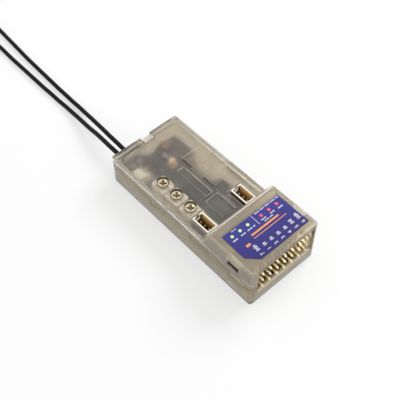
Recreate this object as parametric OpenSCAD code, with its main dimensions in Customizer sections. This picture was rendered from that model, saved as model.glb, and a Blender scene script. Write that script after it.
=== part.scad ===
// Seven channel radio control receiver with a built-in stabiliser, in a frosted snap-fit case.
// X runs across the case, +Y points to the antennas, the servo pins face -Y and Z is up.
// The origin is at the middle of the case's underside. All sizes are in millimetres.

/* [Case] */
// Header's side to the case's outer face
side_room = 2.61; // [2.5:0.01:4]
// Length of the radio section behind the trimmers
tail_l = 13.55; // [12:0.05:18]
// Room between the header and the hood's top
head_room = 1.7; // [1.4:0.1:3]
// Height of the cover's lower edge
split_z = 7.2; // [7:0.1:7.4]
// Shadow gap between tub and cover
reveal = 0.5; // [0.3:0.1:0.7]
// Thickness of the side and end walls
wall = 1.2; // [1.1:0.1:1.3]
// Thickness of the tub's floor
floor_t = 1.2; // [1:0.1:1.4]
// Thickness of the deck and of the hood's top
roof_t = 1; // [0.9:0.1:1.2]
// Radius of the upright corners
corner_r = 1.6; // [1.2:0.1:2.5]
// Radius of the outer edges above and below
edge_r = 0.7; // [0.4:0.1:1]
// Depth by which the tub's lip stands back from its outer face
lip_inset = 0.4; // [0.3:0.05:0.6]
// Height of the lip above the cover's lower edge
lip_rise = 0.9; // [0.6:0.1:1.1]
// Length of the long tab on each side of the cover
tab_l = 9.6; // [6:0.2:12]
// Depth of that tab below the cover's edge
tab_drop = 1.2; // [0.6:0.1:1.6]

/* [Hood] */
// Last row of the header's legs to the hood's upper rear edge
hood_past_legs = -0.12; // [-0.12:0.02:1]
// Run of the slope behind the hood
hood_slope = 2.5; // [1.5:0.1:2.7]
// Radius of the hood's rear upper edge
hood_r = 0.9; // [0.4:0.1:1.2]

/* [Label] */
// Case's sides to the label's sides
label_side = 1.95; // [1.8:0.05:3]
// Label's rear edge to the hood's upper rear edge
label_to_crest = 2.7; // [2.4:0.1:4]
// Thickness of the label
label_t = 0.15; // [0.1:0.05:0.25]
// Depth of the label's recess in the hood
label_recess = 0.3; // [0.25:0.05:0.4]
// Rim of the recess that stays bare around the label
label_margin = 0.4; // [0.2:0.05:0.6]
// Front face to the label's front edge
label_from_front = 2.3; // [2:0.1:2.6]
// Sideways place of the label's middle
label_x = 0.45; // [0.2:0.05:0.6]
// Cut of the label's front left corner, along X and Y
label_cut = 2.9; // [1:0.1:4]

/* [Pin window] */
// Room at each side of the header in the window
window_room = 0.7; // [0.4:0.05:0.8]
// Sideways place of the window's middle
window_x = 0.3; // [0:0.05:0.5]
// Height of the window's sill
window_sill = 3.9; // [3.6:0.1:4.1]
// Hood's top to the window's upper edge
window_head = 0.9; // [0.8:0.05:1.2]

/* [Servo header] */
// Columns of pins, one for each channel
channels = 7; // [5:1:7]
// Pitch of the pins
pitch = 2.54; // [2:0.01:2.54]
// Width of a square pin
pin_w = 0.64; // [0.5:0.02:0.7]
// Length of the pins' bare ends
pin_reach = 7; // [6:0.1:7.4]
// Front face to the tips of the pins
pin_recess = 0.2; // [0:0.1:0.6]
// Board to the middle of the lowest row of pins
header_rise = 1.35; // [1.3:0.05:1.6]
// Depth of the header's insulator
header_depth = 2.54; // [2:0.02:2.6]
// Sideways place of the header's middle
header_x = 0.45; // [0.2:0.05:0.5]
// Insulator's rear face to the first row of legs
leg_from_block = 1.1; // [0.8:0.1:1.4]

/* [Board] */
// Thickness of the circuit board
board_t = 1; // [0.8:0.1:1.2]
// Tub's floor to the board's underside
board_lift = 1.2; // [1.1:0.1:1.4]
// Board's edge to the walls
board_gap = 0.9; // [0.85:0.05:1.1]
// Diameter of the posts under the board
post_d = 2.2; // [1.8:0.1:2.6]
// Diameter of the posts' locating pins
post_pin_d = 0.9; // [0.7:0.05:1.1]
// Board's side edges to the middle of the posts
post_in = 1.6; // [1.5:0.1:2]

/* [Trimmers] */
// Width of a trimmer's body
trimmer_w = 4.3; // [3.8:0.1:4.6]
// Length of a trimmer's body
trimmer_l = 4.8; // [4:0.1:5.2]
// Gap between two trimmers
trimmer_gap = 0.6; // [0.4:0.1:1.5]
// Left face of the case to the trimmers' middle
trimmer_in = 4.95; // [4.6:0.05:5.4]
// Rear end of the sockets to the front trimmer
socket_to_trimmer = 0.65; // [0.6:0.05:2]
// Diameter of a rotor
rotor_d = 3; // [2.6:0.1:3]
// Height of a rotor
rotor_t = 1.1; // [1:0.1:1.6]
// Deck's top to a rotor's top
rotor_drop = 0.5; // [0.2:0.05:0.8]
// Diameter of a rotor's stem
stem_d = 1.4; // [1:0.1:1.8]
// Length of a rotor's stem
stem_l = 1.2; // [0.8:0.1:1.6]
// Width of the rotor's cross slot
slot_w = 0.5; // [0.4:0.05:0.6]
// Depth of the rotor's cross slot
slot_d = 0.6; // [0.3:0.05:0.8]
// Diameter of the holes in the deck above the rotors
trimmer_hole_d = 3.3; // [3.1:0.05:3.6]

/* [Sockets] */
// Width of a three-pin socket
socket_w = 3.5; // [3.3:0.1:3.6]
// Length of a three-pin socket
socket_l = 6; // [5.4:0.1:6.4]
// Height of a three-pin socket above the board
socket_h = 6.05; // [5.8:0.05:7]
// Wall of a socket
socket_wall = 0.45; // [0.35:0.05:0.55]
// Thickness of a socket's base
socket_base = 1.1; // [0.8:0.1:1.4]
// Deck's top to a socket's top
socket_drop = 0.15; // [0:0.05:0.4]
// Pitch of a socket's pins
socket_pitch = 1.5; // [1.2:0.05:1.5]
// Width of a socket's pins
socket_pin_w = 0.45; // [0.35:0.05:0.5]
// Socket's top to the tips of its pins
socket_pin_drop = 1.3; // [0.8:0.1:2]
// Width of the keyway in a socket's rear wall
socket_key = 1.2; // [0.8:0.1:1.6]
// Left face of the case to the left socket's middle
left_socket_in = 4.45; // [4.4:0.05:4.8]
// Right face of the case to the right socket's middle
right_socket_in = 5.2; // [4.6:0.05:5.4]
// Length of the sockets' front ends that stands in the foot of the hood's slope
socket_lap = 0.1; // [0:0.05:0.2]
// Gap around a socket in the deck
socket_gap = 0.3; // [0.2:0.05:0.4]
// Wider gap on the inner side of the right socket
socket_side_gap = 0.95; // [0.3:0.05:1.2]

/* [Deck pockets] */
// Length of the two side pockets across the case
pocket_w = 8; // [6:0.1:8]
// Side pockets' outer ends to the case's right face
pocket_in = 1.3; // [1:0.1:2]
// Depth of the pockets
pocket_d = 0.45; // [0.2:0.05:0.6]
// Width of the slit along each side pocket's inner edge
slit_w = 0.4; // [0.25:0.05:0.6]
// Depth of the shallow frame round the side pockets
frame_d = 0.2; // [0.1:0.05:0.3]

/* [Snaps] */
// Length of the snap windows in the hood's sides
snap_l = 4.2; // [3:0.1:4.6]
// Height of the snap windows
snap_h = 1.8; // [1.4:0.1:2]
// Hood's top to the snap windows' upper edge
snap_drop = 2.1; // [2:0.1:2.4]
// Front face to the snap windows' middle
snap_from_front = 6.7; // [6.4:0.1:7]
// Thickness of the snap tongues
tongue_t = 0.65; // [0.5:0.05:0.7]
// Clearance of the tongues in their windows
tongue_gap = 0.2; // [0.15:0.05:0.3]
// Width of the rear snap's notch
rear_notch_w = 3.6; // [3:0.1:4.4]
// Depth of the rear snap's notch from the rear face
rear_notch_l = 2.7; // [2.6:0.1:3.2]
// Thickness of the rear snap's tongue
rear_tongue_t = 1.2; // [0.6:0.1:1.3]

/* [Antennas] */
// Diameter of the antennas' coaxial cable
coax_d = 1.3; // [1.1:0.05:1.4]
// Diameter of the stripped antenna tip
tip_d = 0.9; // [0.7:0.05:1]
// Length of the stripped antenna tip
tip_l = 31; // [28:0.5:33]
// Height of the cable's exits above the board
exit_rise = 1.2; // [1.1:0.05:1.3]
// Left face of the case to the left exit
left_exit_in = 4.5; // [4.4:0.05:5]
// Spacing of the two exits
exit_gap = 2.2; // [1.6:0.05:2.4]
// Width of the rubber grommet in the rear wall
grommet_w = 5.8; // [5.2:0.1:6.2]
// Left exit to the grommet's left end
grommet_lap = 1.3; // [1.1:0.05:1.5]
// Thickness of the grommet's inner flange
flange_t = 0.8; // [0.5:0.1:0.9]
// Radius of the stored coils at the middle of the cable
coil_r = 6.8; // [6.5:0.1:7.8]
// Thickness of the ties that hold the coils
tie_t = 0.2; // [0.15:0.05:0.3]
// Width of the ties
tie_w = 1.8; // [1.2:0.1:3]

/* [Hidden] */

// Reach past a face in a cut, and running clearance between tub and cover
cut = 1;
fit = 0.05;
$fn = 48;

// Board
board_bottom = floor_t + board_lift;
board_top = board_bottom + board_t;

// Servo header, which sets the case's width and the hood's height and length
rows = 3;
header_w = channels * pitch;
header_top = board_top + header_rise + (rows - 0.5) * pitch;
legs_from_front = pin_recess + pin_reach + header_depth + leg_from_block + (rows - 1) * pitch;
hood_l = legs_from_front + hood_past_legs;
body_w = header_w + 2 * side_room;
deck_h = board_top + socket_h + socket_drop;
hood_h = header_top + head_room + roof_t;

// Sections along the case, each from the front face, which set its length
socket_from_front = hood_l + hood_slope - socket_lap + socket_l / 2;
trimmer_pitch = trimmer_l + trimmer_gap;
trimmer_from_front = socket_from_front + socket_l / 2 + socket_to_trimmer + trimmer_l / 2;
body_l = trimmer_from_front + 2 * trimmer_pitch + trimmer_l / 2 + tail_l;

// Faces of the case and its inner walls
front_y = -body_l / 2;
rear_y = body_l / 2;
half_w = body_w / 2;
inner_w = half_w - wall;
tub_top = split_z - reveal;
lip_top = split_z + lip_rise;

// Hood
crest_y = front_y + hood_l;
foot_y = crest_y + hood_slope;
slope_run = hood_slope / (hood_h - deck_h);
slope_wall = 1.3;

// Label and its recess
label_w = body_w - 2 * label_side;
label_l = hood_l - label_from_front - label_to_crest;
label_y = front_y + label_from_front + label_l / 2;
label_z = hood_h - label_recess;

// Pin window
window_w = header_w + 2 * window_room;
window_top = hood_h - window_head;

// Board's outline and the posts under it
board_half_w = inner_w - board_gap;
board_front = front_y + wall + 0.2;
board_rear = rear_y - wall - flange_t;
post_x = board_half_w - post_in;
post_rows = [front_y + 4.2, rear_y - 9];

// Pins of the header
row_z = [for (i = [0:rows - 1]) board_top + header_rise + i * pitch];
column_x = [for (i = [0:channels - 1]) header_x + (i - (channels - 1) / 2) * pitch];
pin_tip_y = front_y + pin_recess;
block_front = pin_tip_y + pin_reach;
block_rear = block_front + header_depth;
leg_y = [for (i = [0:rows - 1]) block_rear + leg_from_block + i * pitch];
leg_end = board_bottom - 0.7;
pin_slack = 0.02;

// Trimmers
trimmer_x = -half_w + trimmer_in;
trimmer_y = [for (i = [0:2]) front_y + trimmer_from_front + i * trimmer_pitch];
rotor_top = deck_h - rotor_drop;
rotor_bottom = rotor_top - rotor_t;
trimmer_top = rotor_bottom - fit;

// Sockets
left_socket_x = -half_w + left_socket_in;
right_socket_x = half_w - right_socket_in;
socket_y = front_y + socket_from_front;
socket_top = board_top + socket_h;
socket_pin_top = socket_top - socket_pin_drop;
socket_span = right_socket_x - left_socket_x;
socket_middle = (left_socket_x + right_socket_x) / 2;

// Deck pockets, each by its middle and its size
pocket_x = half_w - pocket_in - pocket_w / 2;
pocket_l = 0.78 * trimmer_pitch;
pocket_y = [trimmer_y[0] + 0.56 * trimmer_pitch, trimmer_y[2] + 0.125 * trimmer_pitch];
strip_at = [-0.25, trimmer_y[1]];
strip_size = [2.2, 2 * trimmer_pitch + 0.4];
window_at = [socket_middle - 0.2, socket_y + 0.28 * socket_l];
window_size = [0.41 * socket_span, 1.38 * socket_l];

// Side tabs and rear snap
tab_y = trimmer_y[0] - 0.3;
rear_snap_x = 0.3;
rear_hook_z = deck_h - 1.4;

// Bay beside the trimmers and the radio section behind them, for the parts on the board
bay_x = trimmer_x + trimmer_w / 2;
bay_w = board_half_w - bay_x;
tail_y = trimmer_y[2] + trimmer_l / 2;
tail_run = board_rear - tail_y;

// Antennas
left_exit_x = -half_w + left_exit_in;
right_exit_x = left_exit_x + exit_gap;
grommet_x = left_exit_x - grommet_lap + grommet_w / 2;
exit_z = board_top + exit_rise;
lead_start = rear_y - 2.7;
neck_top = split_z - fit;
rest_z = coax_d / 2;
coil_z = tie_t + coax_d / 2;

// Steps of the cables' routes beyond the exits: sideways, outwards, and the exit's height left, as a share
left_steps = [
    [0, 0, 1], [0, 3, 1], [0.1, 6.5, 0.95], [0.3, 10, 0.87], [0.6, 13.5, 0.72],
    [0.8, 17, 0.54], [1.1, 20.5, 0.37], [1.4, 24, 0.21], [1.6, 27.5, 0.09], [1.7, 31, 0.01],
    [1.6, 34.5, 0], [1.6, 38, 0], [1.5, 41.5, 0], [1.5, 45, 0],
    [1.5, 48.5, 0], [1.5, 52, 0], [1.5, 55.5, 0], [1.5, 59, 0],
    [1.6, 62.5, 0], [1.7, 66, 0], [1.8, 69.5, 0], [1.8, 73, 0]
];
right_steps = [
    [0, 0, 1], [0, 3, 1], [0.2, 6.5, 0.95], [0.4, 10, 0.87], [0.8, 13.5, 0.72],
    [1.2, 17, 0.54], [1.6, 20.5, 0.37], [1.9, 24, 0.21], [2.2, 27.5, 0.09], [2.3, 31, 0.01],
    [2.4, 34.5, 0], [2.4, 38, 0], [2.5, 41.5, 0], [2.6, 45, 0],
    [2.7, 48.5, 0], [2.8, 52, 0], [2.9, 55.5, 0], [3.1, 59, 0],
    [3.3, 62.5, 0], [3.5, 66, 0], [3.7, 69.5, 0], [3.9, 73, 0],
    [4.2, 76.5, 0], [4.4, 80, 0], [4.5, 83.5, 0], [4.6, 87, 0]
];
left_route = concat(laid(left_exit_x, left_steps), [
    [left_exit_x + 1.8, rear_y + 76.5, rest_z + tie_t * 0.3],
    [left_exit_x + 1.8, rear_y + 80, coil_z]
]);
right_route = concat(laid(right_exit_x, right_steps), [
    [right_exit_x + 4.6, rear_y + 91, rest_z + tie_t * 0.3],
    [right_exit_x + 4.6, rear_y + 95, coil_z]
]);
// Turn of each coil, and where its tip starts, in degrees round the coil
left_turn = 300;
right_turn = 180;
tip_turn = tip_l / coil_r * 180 / PI;

// Points of a cable's route from the steps beyond its exit at x
function laid(x, steps) = [for (p = steps) [x + p[0], rear_y + p[1], rest_z + (exit_z - rest_z) * p[2]]];

// Unit vector along v
function unit(v) = v / norm(v);

// Points of an arc that rounds the corner b between a and c with radius r
function rounded(a, b, c, r, steps = 5) =
    let(u = unit(a - b), v = unit(c - b), half = acos(u * v) / 2, centre = b + unit(u + v) * r / sin(half),
        p = b + u * r / tan(half) - centre, q = b + v * r / tan(half) - centre,
        from = atan2(p[1], p[0]), sweep = atan2(p[0] * q[1] - p[1] * q[0], p * q))
    [for (i = [0:steps]) centre + r * [cos(from + sweep * i / steps), sin(from + sweep * i / steps)]];

// Outline of corners with a radius for each; a radius of 0 keeps the corner sharp
function outline(corners, radii) =
    let(n = len(corners))
    [for (i = [0:n - 1])
        each radii[i] > 0 ? rounded(corners[(i + n - 1) % n], corners[i], corners[(i + 1) % n], radii[i])
                          : [corners[i]]];

// Ring of points round a cable at p, square to its direction t
function cable_ring(p, t, r, sides) =
    let(side = unit(cross(t, [0, 0, 1])), up = cross(side, t))
    [for (k = [0:sides - 1]) p + r * (cos(360 * k / sides) * side + sin(360 * k / sides) * up)];

// Cable of diameter d swept along a route
module cable(route, d, sides = 8) {
    n = len(route);
    points = [for (i = [0:n - 1])
        each cable_ring(route[i], unit(route[min(i + 1, n - 1)] - route[max(i - 1, 0)]), d / 2, sides)];
    ends = [[for (k = [0:sides - 1]) k], [for (k = [0:sides - 1]) n * sides - 1 - k]];
    skin = [for (i = [0:n - 2]) for (k = [0:sides - 1])
        let(a = i * sides + k, b = i * sides + (k + 1) % sides) [a, a + sides, b + sides, b]];
    polyhedron(points, concat(ends, skin));
}

// Box from its lowest to its highest corner
module span(low, high) {
    translate(low) cube(high - low);
}

// Plan of the case, drawn in from its outer face
module plan(inset) {
    x = half_w - inset;
    y = body_l / 2 - inset;
    r = max(corner_r - inset, 0.3);
    polygon(outline([[-x, -y], [x, -y], [x, y], [-x, y]], [r, r, r, r]));
}

// Slab of the case's plan between two heights
module slab(inset, low, high) {
    translate([0, 0, low]) linear_extrude(high - low) plan(inset);
}

// Extrudes a YZ outline across the whole width, and an XZ outline along the whole length
module across(corners) {
    rotate([90, 0, 90]) translate([0, 0, -half_w - cut]) linear_extrude(body_w + 2 * cut) polygon(corners);
}

module along(corners) {
    rotate([90, 0, 0]) translate([0, 0, -rear_y - cut]) linear_extrude(body_l + 2 * cut) polygon(corners);
}

// Bottom or top of the case with rounded outer edges
module shell(low, high, bottom_r, top_r, rear) {
    radii = [bottom_r, bottom_r, top_r, top_r];
    intersection() {
        slab(0, low, high);
        along(outline([[-half_w, low], [half_w, low], [half_w, high], [-half_w, high]], radii));
        across(outline([[front_y, low], [rear, low], [rear, high], [front_y, high]], radii));
    }
}

// Hood with its sloping rear, drawn in by the walls for its hollow
module hood_block() {
    intersection() {
        slab(0, split_z, hood_h);
        along(outline([[-half_w, split_z], [half_w, split_z], [half_w, hood_h], [-half_w, hood_h]],
                      [0, 0, edge_r, edge_r]));
        across(outline([[front_y, split_z], [foot_y, split_z], [foot_y, deck_h], [crest_y, hood_h],
                        [front_y, hood_h]], [0, 0, 0, hood_r, edge_r]));
    }
}

module hood_hollow() {
    inner_foot = foot_y + slope_run * roof_t - slope_wall;
    intersection() {
        slab(wall, split_z - cut, hood_h - roof_t);
        across([[front_y, split_z - cut], [inner_foot, split_z - cut], [inner_foot, deck_h - roof_t],
                [inner_foot - hood_slope, hood_h - roof_t], [front_y, hood_h - roof_t]]);
    }
}

// Box of one plan size, standing between two heights
module pad(at, size, low, high) {
    translate([at[0] - size[0] / 2, at[1] - size[1] / 2, low]) cube([size[0], size[1], high - low]);
}

// The window in front of the pins, cut through tub and cover
module pin_window() {
    pad([window_x, front_y], [window_w, 2 * wall + cut], window_sill, window_top);
}

// Ring of the wall between two insets, along the tabs in the sides
module tab_ring(inset, length, low, high) {
    intersection() {
        difference() {
            slab(0, low, high);
            slab(inset, low - cut, high + cut);
        }
        pad([0, tab_y], [body_w + cut, length], low, high);
    }
}

// Tongue with a hook that springs into a snap window, on the side given by s
module side_tongue(s) {
    base_x = inner_w - fit;
    top = hood_h - snap_drop - tongue_gap;
    low = top - snap_h + 2 * tongue_gap;
    y = front_y + snap_from_front;
    length = snap_l - 2 * tongue_gap;
    translate([0, y + length / 2, 0]) rotate([90, 0, 0]) linear_extrude(length)
        polygon([for (p = [[inner_w, floor_t], [inner_w, lip_top], [base_x, lip_top], [base_x, low],
                           [base_x + 0.6, low], [base_x, top], [base_x - tongue_t, top],
                           [base_x - tongue_t, floor_t]]) [s * p[0], p[1]]]);
}

// Tongue behind the rear wall, with its hook in the cover's notch and a slope that leads the cover in
module rear_tongue() {
    inner = rear_y - wall;
    top = deck_h - 0.2;
    width = rear_notch_w - 2 * tongue_gap;
    translate([rear_snap_x - width / 2, 0, 0]) rotate([90, 0, 90]) linear_extrude(width)
        polygon([[inner, floor_t], [inner, lip_top], [inner - fit, lip_top], [inner - fit, rear_hook_z + fit],
                 [rear_y - 0.35, rear_hook_z + fit], [rear_y - 0.35, rear_hook_z + 0.5], [inner - 0.1, top],
                 [inner - rear_tongue_t, top], [inner - rear_tongue_t, floor_t]]);
}

module base_tub() {
    color([0.62, 0.6, 0.52, 0.6]) difference() {
        union() {
            difference() {
                union() {
                    shell(0, tub_top, edge_r, 0, rear_y);
                    slab(lip_inset, tub_top - cut, lip_top);
                }
                slab(wall, floor_t, lip_top + cut);
                tab_ring(lip_inset, tab_l + 2 * reveal, tub_top - tab_drop, tub_top + cut);
            }
            for (s = [-1, 1]) side_tongue(s);
            rear_tongue();
            for (y = post_rows) for (s = [-1, 1]) translate([s * post_x, y, 0]) {
                translate([0, 0, floor_t - fit]) cylinder(d = post_d, h = board_lift + fit);
                translate([0, 0, floor_t]) cylinder(d = post_pin_d, h = board_lift + board_t * 0.8);
            }
            // Upright ribs that stiffen the side walls
            for (s = [-1, 1]) for (y = [post_rows[0], crest_y, trimmer_y[2]])
                pad([s * (inner_w - 0.2), y], [0.6, 0.8], floor_t, tub_top);
        }
        pin_window();
        // Slot in the rear wall for the grommet
        span([grommet_x - grommet_w / 2, rear_y - wall - fit, exit_z - coax_d / 2 - 0.4],
             [grommet_x + grommet_w / 2, rear_y + cut, lip_top + cut]);
    }
}

// Recesses, slits and holes in the deck
module deck_cuts() {
    for (y = pocket_y) {
        pad([pocket_x, y], [pocket_w, pocket_l], deck_h - pocket_d, deck_h + cut);
        pad([pocket_x - pocket_w / 2 + slit_w / 2, y], [slit_w, pocket_l - 0.7],
            deck_h - roof_t - cut, deck_h);
    }
    // Shallow frame that joins the two side pockets
    pad([pocket_x + 1.6, (pocket_y[0] + pocket_y[1]) / 2], [pocket_w - 3.2, pocket_y[1] - pocket_y[0]],
        deck_h - frame_d, deck_h + cut);
    pad(strip_at, strip_size, deck_h - pocket_d, deck_h + cut);
    pad(window_at, window_size, deck_h - frame_d, deck_h + cut);
    pad(window_at + [0.2, -0.2], window_size - [1.2, 1.6], deck_h - pocket_d - frame_d, deck_h + cut);
    for (y = trimmer_y) translate([trimmer_x, y, deck_h - roof_t - cut])
        cylinder(d = trimmer_hole_d, h = roof_t + 2 * cut);
    for (x = [left_socket_x, right_socket_x])
        pad([x, socket_y], [socket_w + 2 * socket_gap, socket_l + 2 * socket_gap],
            deck_h - roof_t - cut, deck_h + cut);
    span([right_socket_x - socket_w / 2 - socket_side_gap, socket_y - socket_l / 2 - socket_gap,
          deck_h - roof_t - cut],
         [right_socket_x, socket_y + socket_l / 2 + socket_gap, deck_h + cut]);
    // Notch for the rear snap
    pad([rear_snap_x, rear_y], [rear_notch_w, 2 * rear_notch_l], rear_hook_z, deck_h + cut);
}

// Recess for the label, with the same cut corner
module label_outline(margin) {
    x = label_w / 2 + margin;
    y = label_l / 2 + margin;
    translate([label_x, label_y])
        polygon([[-x, -y + label_cut], [-x + label_cut, -y], [x, -y], [x, y], [-x, y]]);
}

module top_cover() {
    color([0.8, 0.77, 0.68, 0.5]) difference() {
        union() {
            difference() {
                union() {
                    shell(split_z, deck_h, 0, edge_r, rear_y);
                    hood_block();
                }
                slab(wall, split_z - cut, deck_h - roof_t);
                hood_hollow();
                // Rebate over the tub's lip
                slab(lip_inset - fit, split_z - cut, lip_top + 0.1);
            }
            tab_ring(lip_inset - fit, tab_l, split_z - tab_drop, split_z + fit);
            // Ribs behind the side walls
            for (s = [-1, 1]) for (y = [foot_y, tab_y + tab_l / 2])
                pad([s * (inner_w - 0.15), y], [0.5, 0.8], lip_top + 0.1, deck_h - roof_t + fit);
        }
        translate([0, 0, label_z]) linear_extrude(label_recess + cut) label_outline(label_margin);
        pin_window();
        deck_cuts();
        for (s = [-1, 1])
            pad([s * half_w, front_y + snap_from_front], [2 * wall + cut, snap_l],
                hood_h - snap_drop - snap_h, hood_h - snap_drop);
    }
}

module label() {
    color([0.2, 0.19, 0.42]) translate([0, 0, label_z]) linear_extrude(label_t) label_outline(0);
}

module main_board() {
    color([0.22, 0.24, 0.24]) difference() {
        span([-board_half_w, board_front, board_bottom], [board_half_w, board_rear, board_top]);
        for (y = post_rows) for (s = [-1, 1]) translate([s * post_x, y, board_bottom - cut])
            cylinder(d = post_pin_d + 2 * fit, h = board_t + 2 * cut);
        for (x = column_x) for (y = leg_y)
            pad([x, y], [pin_w + 2 * fit, pin_w + 2 * fit], board_bottom - cut, board_top + cut);
        for (x = [left_socket_x, right_socket_x]) for (i = [-1:1])
            pad([x, socket_y + i * socket_pitch], [socket_pin_w + 2 * fit, socket_pin_w + 2 * fit],
                board_bottom - cut, board_top + cut);
        // Relief for the rear snap's tongue
        span([rear_snap_x - rear_notch_w / 2, rear_y - wall - rear_tongue_t - tongue_gap, board_bottom - cut],
             [rear_snap_x + rear_notch_w / 2, board_rear + cut, board_top + cut]);
    }
}

module header_block() {
    chamfer = 0.3;
    color([0.08, 0.08, 0.08]) difference() {
        // One moulded cell for each channel, with chamfered upright edges
        union() for (x = column_x) translate([x, 0, board_top])
            linear_extrude(header_rise + (rows - 0.5) * pitch)
            polygon([[-pitch / 2 + chamfer, block_front], [pitch / 2 - chamfer, block_front],
                     [pitch / 2, block_front + chamfer], [pitch / 2, block_rear - chamfer],
                     [pitch / 2 - chamfer, block_rear], [-pitch / 2 + chamfer, block_rear],
                     [-pitch / 2, block_rear - chamfer], [-pitch / 2, block_front + chamfer]]);
        for (x = column_x) for (z = row_z)
            span([x - pin_w / 2 - pin_slack, block_front - cut, z - pin_w / 2 - pin_slack],
                 [x + pin_w / 2 + pin_slack, block_rear + cut, z + pin_w / 2 + pin_slack]);
    }
}

// Bent pin of row i: a bare end with a pointed tip, and a leg down through the board
module bent_pin(x, i) {
    h = pin_w / 2;
    tip = 0.5;
    z = row_z[i];
    intersection() {
        translate([x - h, 0, 0]) rotate([90, 0, 90]) linear_extrude(pin_w)
            polygon([[pin_tip_y, z - h / 2], [pin_tip_y + tip, z - h], [leg_y[i] - h, z - h],
                     [leg_y[i] - h, leg_end], [leg_y[i] + h, leg_end], [leg_y[i] + h, z + h / 2],
                     [leg_y[i] + h / 2, z + h], [pin_tip_y + tip, z + h], [pin_tip_y, z + h / 2]]);
        translate([x, 0, leg_end]) linear_extrude(z + pin_w - leg_end)
            polygon([[-h / 2, pin_tip_y], [h / 2, pin_tip_y], [h, pin_tip_y + tip], [h, leg_y[i] + h],
                     [-h, leg_y[i] + h], [-h, pin_tip_y + tip]]);
    }
}

module header_row(i) {
    color([0.85, 0.68, 0.3]) for (x = column_x) bent_pin(x, i);
}

// Three-pin socket, open at the top, with a keyway in its rear wall
module socket(x) {
    color([0.93, 0.91, 0.85]) difference() {
        pad([x, socket_y], [socket_w, socket_l], board_top, socket_top);
        pad([x, socket_y], [socket_w - 2 * socket_wall, socket_l - 2 * socket_wall],
            board_top + socket_base, socket_top + cut);
        pad([x, socket_y + socket_l / 2], [socket_key, 2 * socket_wall + cut],
            socket_top - 1.6, socket_top + cut);
        for (i = [-1:1]) pad([x, socket_y + i * socket_pitch],
                             [socket_pin_w + 2 * pin_slack, socket_pin_w + 2 * pin_slack],
                             board_top - cut, socket_top);
    }
}

// Contact pins of a socket, each with a pointed tip
module socket_pins(x) {
    h = socket_pin_w / 2;
    low = leg_end + 0.1;
    color([0.85, 0.68, 0.3]) for (i = [-1:1]) translate([x, socket_y + i * socket_pitch, 0]) intersection() {
        rotate([90, 0, 90]) translate([0, 0, -h]) linear_extrude(2 * h)
            polygon([[-h, low], [h, low], [h, socket_pin_top - 0.4], [h / 2, socket_pin_top],
                     [-h / 2, socket_pin_top], [-h, socket_pin_top - 0.4]]);
        rotate([90, 0, 0]) translate([0, 0, -h]) linear_extrude(2 * h)
            polygon([[-h, low], [h, low], [h, socket_pin_top - 0.4], [h / 2, socket_pin_top],
                     [-h / 2, socket_pin_top], [-h, socket_pin_top - 0.4]]);
    }
}

// Trimmer's body with chamfered corners, a seat for the rotor's stem and a round wiper track
module trimmer_body(i) {
    chamfer = 0.4;
    x = trimmer_w / 2;
    y = trimmer_l / 2;
    color([0.9, 0.87, 0.8]) translate([trimmer_x, trimmer_y[i], 0]) difference() {
        translate([0, 0, board_top]) linear_extrude(trimmer_top - board_top)
            polygon([[-x + chamfer, -y], [x - chamfer, -y], [x, -y + chamfer], [x, y - chamfer],
                     [x - chamfer, y], [-x + chamfer, y], [-x, y - chamfer], [-x, -y + chamfer]]);
        translate([0, 0, trimmer_top - stem_l - 0.1]) cylinder(d = stem_d + 2 * fit, h = stem_l + 0.1 + cut);
        translate([0, 0, trimmer_top - 0.2]) difference() {
            cylinder(d = rotor_d + 0.6, h = cut);
            translate([0, 0, -cut]) cylinder(d = rotor_d, h = 3 * cut);
        }
    }
}

// Rotor with a dished top, a cross slot and a stem in the body's bore
module trimmer_rotor(i) {
    dish = 0.25;
    color([0.82, 0.76, 0.6]) translate([trimmer_x, trimmer_y[i], 0]) difference() {
        rotate_extrude() polygon([[0, rotor_bottom - stem_l], [stem_d / 2, rotor_bottom - stem_l],
                                  [stem_d / 2, rotor_bottom], [rotor_d / 2, rotor_bottom],
                                  [rotor_d / 2, rotor_top - 0.2], [rotor_d / 2 - 0.2, rotor_top],
                                  [rotor_d / 2 - 0.45, rotor_top], [rotor_d / 2 - 0.7, rotor_top - dish],
                                  [0, rotor_top - dish]]);
        for (a = [0, 90]) rotate([0, 0, a + 45])
            translate([-rotor_d * 0.34, -slot_w / 2, rotor_top - slot_d])
                cube([rotor_d * 0.68, slot_w, slot_d + cut]);
    }
}

// Chip with a bevelled top on the board; size is its width, length and height
module chip(at, size, tone) {
    bevel = size[2] * 0.25;
    color(tone) translate([at[0], at[1], board_top]) intersection() {
        translate([-size[0] / 2, -size[1] / 2, 0]) cube(size);
        rotate([90, 0, 0]) translate([0, 0, -size[1] / 2]) linear_extrude(size[1])
            polygon([[-size[0] / 2, 0], [size[0] / 2, 0], [size[0] / 2, size[2] - bevel],
                     [size[0] / 2 - bevel, size[2]], [-size[0] / 2 + bevel, size[2]],
                     [-size[0] / 2, size[2] - bevel]]);
    }
}

// Chip with rows of legs along its two long sides
module legged_chip(at, size, tone, legs, step, leg) {
    foot = 0.8;
    chip([at[0], at[1]], [size[0], size[1], size[2]], tone);
    color([0.75, 0.75, 0.72]) for (s = [-1, 1]) for (k = [0:legs - 1])
        translate([at[0], at[1] + (k - (legs - 1) / 2) * step - leg / 2, board_top]) rotate([90, 0, 0])
            mirror([0, 0, 1]) linear_extrude(leg)
            polygon([for (p = [[size[0] / 2 - 0.1, size[2] * 0.5], [size[0] / 2 + 0.3, size[2] * 0.5],
                               [size[0] / 2 + 0.5, 0.15], [size[0] / 2 + foot, 0.15], [size[0] / 2 + foot, 0],
                               [size[0] / 2 + 0.35, 0], [size[0] / 2 + 0.15, size[2] * 0.35],
                               [size[0] / 2 - 0.1, size[2] * 0.35]]) [s * p[0], p[1]]]);
}

// Place on the board as shares of the bay's width and of the radio section's length
function spot(x, y) = [bay_x + x * bay_w, tail_y + y * tail_run];

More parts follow.
